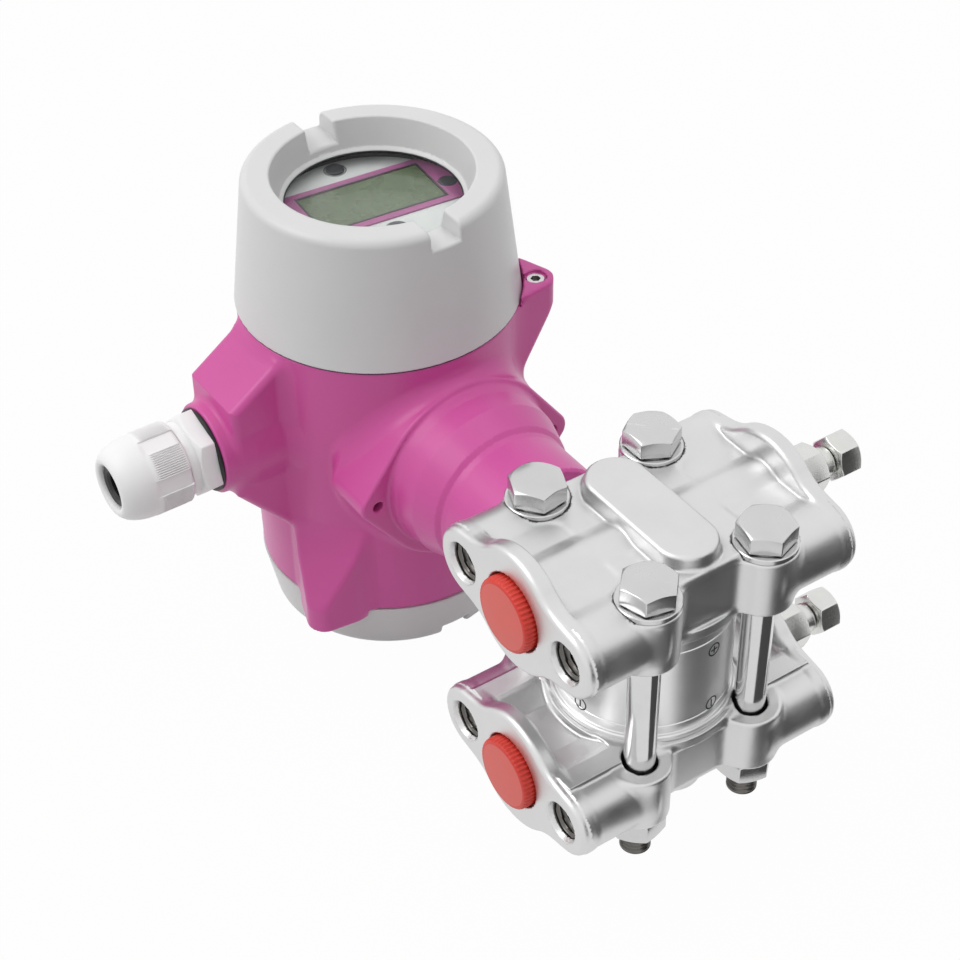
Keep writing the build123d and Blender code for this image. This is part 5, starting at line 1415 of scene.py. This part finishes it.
@dataclass
class DisplayUnit:
    """Display behind the window, with its buttons and prints.

    Attributes:
        plate_z: Height of the plate's top.
        band_z: Height of the band's top.
        turn: Turn of the display in degrees.
        panel: Middle of the panel on the turned display.
        half_panel: Half the panel's sides.
        border: Width of the frame round the panel.
        prints: X, Y, inner and outer radius of the ring round each button.
    """

    plate_z: float = 56.38
    band_z: float = 56.7
    turn: float = -5.0
    panel: tuple[float, float] = (-5.6, 2.0)
    half_panel: tuple[float, float] = (8.85, 18.05)
    border: float = 0.55
    prints: tuple[tuple[float, float, float, float], ...] = (
        (10.6, 0.6, 3.0, 3.3), (-23.4, 2.0, 2.9, 3.2), (-0.5, 23.8, 2.9, 3.1),
    )

    def corner(self, side_x: int, side_y: int, grow: float, height: float) -> tuple[float, float, float]:
        """One corner of the panel, moved out by a width."""
        turn = math.radians(self.turn)
        u = self.panel[0] + side_x * (self.half_panel[0] + grow)
        v = self.panel[1] + side_y * (self.half_panel[1] + grow)
        x, y = u * math.cos(turn) - v * math.sin(turn), u * math.sin(turn) + v * math.cos(turn)
        return HOUSING_X + x, MID_Y + y, height

    def build(self) -> None:
        """Dresses the display and adds the frame of the panel and the prints."""
        dress(PLATE_PLASTIC, "display_plate")
        dress(BAND_PRINT, "display_bezel")
        dress(LCD_FILM, "lcd_panel")
        dress(DARK_PLASTIC, "display_frame")
        dress(MODULE_PLASTIC, "electronics_module")
        dress(BUTTON_PRINT, "button_zero", "button_span", "button_enter")
        sides = ((-1, -1), (1, -1), (1, 1), (-1, 1))
        low, high = self.band_z, self.band_z + 0.3
        rows = ((self.border, high - 0.1), (self.border, high), (0.0, high), (0.0, low))
        outline = [[self.corner(sx, sy, grow, height) for sx, sy in sides] for grow, height in rows]
        border = Shell().rings(np.array(outline), False, False)
        install(border.mesh("panel_border"), DARK_PLASTIC, "housing")
        low, high = self.plate_z, self.plate_z + 0.08
        rings = group(tube(r, s, low, high, 0.02, 64).moved(on_axis(x, y)) for x, y, r, s in self.prints)
        install(rings.mesh("button_prints"), BUTTON_PRINT, "housing")


@dataclass
class CableGland:
    """Plastic gland in the cable entry.

    Attributes:
        entry_z: Height of its axis.
        face_y: Place of the hexagon's seat.
        nut_y: Place of the dome nut's seat.
        flats: Width across the flats of the hexagon.
        turn: Turn of the hexagon and the nut in degrees.
        half_flat: Half the angle of a flat of the nut in degrees.
        grip_radius: Radius of the nut at its grip, then at the flats.
        ribs: Ribs between the middle of two flats.
    """

    entry_z: float = 3.7
    face_y: float = -18.2
    nut_y: float = -26.1
    flats: float = 22.0
    turn: float = 13.0
    half_flat: float = 12.0
    grip_radius: tuple[float, float] = (11.9, 11.2)
    ribs: int = 6

    def grip(self) -> Shell:
        """Domed nut about +Z, with flats, ribs and a mouth."""
        steps = 1080
        angles = circle(steps)
        off = np.abs((np.degrees(angles) - self.turn + 30.0) % 60.0 - 30.0)
        large, small = self.grip_radius
        flat = small / np.cos(np.radians(np.clip(off, 0, self.half_flat)))
        phase = (off - self.half_flat) / 18 * math.pi * 2 * self.ribs
        gripped = np.where(off < self.half_flat, flat, large - 0.5 * (0.5 - 0.5 * np.cos(phase)))
        smooth = np.where(off < self.half_flat, flat, large)
        plain = np.full(steps, 11.55)
        rings = [(np.full(steps, 9.3), 0.0), (smooth - 0.9, 0.0), (smooth - 0.35, 0.25), (smooth - 0.1, 0.7)]
        rings.append((np.minimum(gripped + 0.1, smooth), 1.0))
        rings += [(gripped, float(height)) for height in np.linspace(1.3, 8.6, 8)]
        rings += [(np.minimum(gripped + 0.25, smooth), 9.3), (smooth, 9.8), ((smooth + plain) / 2, 10.4)]
        end = math.radians(78)
        for share in np.linspace(0, 1, 20):
            radius = 6.9 + 4.6 * math.cos(share * end)
            height = 10.8 + 9.0 * math.sin(share * end) / math.sin(end)
            rings.append((radius + (plain - 11.5) * (1 - share), height))
        mouth = [
            (7.2, 19.8), (6.7, 19.6), (6.35, 19.2), (6.3, 18.4),
            (6.3, 16.6), (6.9, 16.4), (9.3, 10.2), (9.3, 0.3),
        ]
        rings += [(np.full(steps, radius), height) for radius, height in mouth]
        return Shell().rings(np.array([around(radius, height) for radius, height in rings]), closed=True)

    def build(self) -> None:
        """Builds body, nut, insert and seal ring."""
        seat = (HOUSING_X, self.face_y, self.entry_z)
        body = hexagon(self.flats, 0.0, 5.2, bore=6.9).moved(along(Axis3.MINUS_Y, seat, self.turn))
        profile = [
            (6.95, -9.8), (9.1, -9.8), (9.1, 0.2), (8.0, 1.0), (8.0, 5.0), (10.4, 5.0),
            (10.4, 7.3), (10.1, 7.6), (9.15, 7.6), (9.15, 15.6), (6.95, 15.6),
        ]
        collar = turned(profile, 160, closed=True).moved(along(Axis3.MINUS_Y, seat))
        hexagon_mesh = group([body, collar]).mesh("gland_hexagon", 0.35)
        install(hexagon_mesh, GLAND_PLASTIC, "housing", ["gland_body"])
        nut_place = along(Axis3.MINUS_Y, (HOUSING_X, self.nut_y, self.entry_z))
        nut = self.grip().moved(nut_place).mesh("gland_dome_nut", sharp=55)
        install(nut, GLAND_PLASTIC, "gland_nut", ["gland_nut"])
        profile = [
            (3.6, 5.2), (6.6, 5.2), (6.6, 16.2), (6.0, 16.4),
            (6.0, 18.2), (5.5, 18.6), (4.2, 18.3), (3.6, 17.6),
        ]
        insert = turned(profile, 128, closed=True).moved(nut_place)
        install(insert.mesh("gland_rubber"), RUBBER, "gland_insert", ["gland_insert"])
        ring_place = along(Axis3.MINUS_Y, (HOUSING_X, self.face_y + 1.0, self.entry_z))
        ring = tube(9.25, 12.0, 0.0, 1.0, 0.25, 160).moved(ring_place)
        install(ring.mesh("entry_gasket"), RUBBER, "housing", ["entry_seal_ring"])


@dataclass
class TerminalBay:
    """Terminals behind the lower cover."""

    def build(self) -> None:
        """Dresses the block and its screws."""
        dress(TERMINAL_PLASTIC, "terminal_block")
        dress(BRASS, "terminal_screws")


def linked(thing: bpy.types.ID, name: str) -> Object:
    """Object that shows a mesh, lamp or camera, linked to the scene."""
    made = bpy.data.objects.new(name, thing)
    bpy.context.scene.collection.objects.link(made)
    return made


def facing(place: Triple) -> Matrix:
    """Matrix of something that stands at a place and faces the transmitter."""
    aim = Vector((-0.05, 0.04, 0.0)) - Vector(place)
    return Matrix.Translation(place) @ aim.to_track_quat("-Z", "Y").to_matrix().to_4x4()


def sheet(name: str, width: float, depth: float) -> Object:
    """Flat rectangle about its own middle."""
    u, v = width / 2, depth / 2
    mesh = bpy.data.meshes.new(name)
    mesh.from_pydata([(-u, -v, 0), (u, -v, 0), (u, v, 0), (-u, v, 0)], [], [(0, 1, 2, 3)])
    return linked(mesh, name)


@dataclass
class Studio:
    """Floor, lights and camera, in metres and degrees."""

    floor_z: float = -0.0690
    floor_side: float = 8.0
    lens: float = 80.15
    azimuth: float = 56.02
    elevation: float = 39.91
    roll: float = -0.73
    place: Triple = (0.2953, -0.2074, 0.3690)

    def camera(self) -> None:
        """Sets the camera at the photograph's angle."""
        data = bpy.data.cameras.new("camera")
        data.lens, data.sensor_width = self.lens, 36.0
        data.clip_start, data.clip_end = 0.01, 20.0
        camera = linked(data, "camera")
        a, e, r = (math.radians(v) for v in (self.azimuth, self.elevation, self.roll))
        back = Vector((math.sin(a) * math.cos(e), -math.cos(a) * math.cos(e), math.sin(e)))
        right = Vector((math.cos(a), math.sin(a), 0))
        up = back.cross(right)
        turned_right = right * math.cos(r) + up * math.sin(r)
        turned_up = up * math.cos(r) - right * math.sin(r)
        turn = Matrix((turned_right, turned_up, back)).transposed().to_4x4()
        camera.matrix_world = Matrix.Translation(self.place) @ turn
        bpy.context.scene.camera = camera

    def lamp(self, name: str, place: Triple, size: float, power: float, mirrored: bool = True) -> None:
        """Adds a square soft lamp that points at the object.

        Args:
            name: Name of the lamp.
            place: Where it stands.
            size: Side of the lamp.
            power: Power in watts.
            mirrored: Whether reflections show it.
        """
        data = bpy.data.lights.new(name, "AREA")
        data.energy, data.size = power, size
        lamp = linked(data, name)
        lamp.visible_glossy = mirrored
        lamp.matrix_world = facing(place)

    def world(self) -> None:
        """White surroundings for the camera and reflections, softer light for the rest."""
        world = bpy.data.worlds.new("studio")
        bpy.context.scene.world = world
        world.use_nodes = True
        world.node_tree.nodes.clear()
        w = Wiring(world.node_tree)
        path = w.node("ShaderNodeLightPath").outputs
        seen = w.calc("MAXIMUM", path["Is Camera Ray"], path["Is Glossy Ray"])
        direction = w.node("ShaderNodeTexCoord").outputs["Generated"]
        lit_from = w.vector("DOT_PRODUCT", {0: direction, 1: (-0.42, -0.55, 0.72)}, "Value")
        level = w.spread(lit_from, -0.6, 0.8, 0.1, 0.72)
        soft = w.node("ShaderNodeBackground", {"Color": (1, 1, 1, 1), "Strength": level})
        white = w.node("ShaderNodeBackground", {"Color": (1, 1, 1, 1), "Strength": 1.0})
        mixed = w.node("ShaderNodeMixShader", {0: seen, 1: soft.outputs[0], 2: white.outputs[0]})
        w.node("ShaderNodeOutputWorld", {"Surface": mixed.outputs[0]})

    def floor(self) -> None:
        """Pale floor that keeps a faint shadow."""
        floor = sheet("floor", self.floor_side, self.floor_side)
        floor.location.z = self.floor_z
        made, w = empty_material("floor_white")
        path = w.node("ShaderNodeLightPath").outputs
        seen = w.calc("MAXIMUM", path["Is Camera Ray"], w.calc("MULTIPLY", path["Is Glossy Ray"], 0.85))
        plain = w.node("ShaderNodeBsdfDiffuse", {"Color": (0.6, 0.6, 0.6, 1)})
        white = w.node("ShaderNodeEmission", {"Color": (1, 1, 1, 1), "Strength": 1.0})
        share = w.calc("MULTIPLY", seen, 0.975)
        mixed = w.node("ShaderNodeMixShader", {0: share, 1: plain.outputs[0], 2: white.outputs[0]})
        w.node("ShaderNodeOutputMaterial", {"Surface": mixed.outputs[0]})
        floor.data.materials.append(made)

    def card(self, name: str, side: tuple[float, float], place: Matrix, level: float) -> None:
        """Grey card that only reflections see: it paints darker reflections where the metal would show shade.

        Args:
            name: Name of the card.
            side: Its two sides.
            place: Where it stands or lies.
            level: Its screen tone.
        """
        card = sheet(name, *side)
        card.matrix_world = place
        made = bpy.data.materials.new(name)
        made.use_nodes = True
        shader = made.node_tree.nodes["Principled BSDF"]
        shader.inputs["Base Color"].default_value = linear(grey(level))
        shader.inputs["Roughness"].default_value = 0.9
        card.data.materials.append(made)
        card.visible_camera = card.visible_diffuse = card.visible_shadow = card.visible_transmission = False

    def build(self) -> None:
        """Sets up the whole studio."""
        bpy.context.scene.view_settings.view_transform = "Standard"
        self.world()
        self.floor()
        self.lamp("key", (-0.45, -0.75, 0.95), 0.8, 4.4)
        self.lamp("side", (0.45, 0.95, 0.45), 0.5, 0.9, mirrored=False)
        self.lamp("top", (-0.1, 0.3, 1.1), 0.7, 2.6, mirrored=False)
        card_z = self.floor_z + 0.0005
        # Dark cards seen only in reflections: painted dark reflections on the +X and lower sides of the
        # metal; the near one stands in for the floor's contact shadow.
        self.card("dark_reflection_card_right", (0.8, 0.8), facing((0.8, 0.4, 0.05)), 0.25)
        self.card("dark_reflection_card_far", (0.62, 0.7), Matrix.Translation((0.52, 0.28, card_z)), 0.3)
        self.card("floor_shadow_card_near", (0.16, 0.26), Matrix.Translation((0.13, 0.17, card_z)), 0.3)
        self.camera()


def main() -> None:
    """Builds the transmitter piece by piece, then the studio."""
    logging.basicConfig(level=logging.INFO, format="%(name)s %(message)s")
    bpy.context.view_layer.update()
    builders = [
        ProcessFlanges(), ClampingBolts(), SensorCapsule(), Vents(), PortCaps(),
        Housing(), DisplayCover(), TerminalCover(), DisplayUnit(), CableGland(), TerminalBay(), Studio(),
    ]
    for builder in builders:
        log.info("building %s", type(builder).__name__)
        builder.build()


if __name__ == "__main__":
    main()
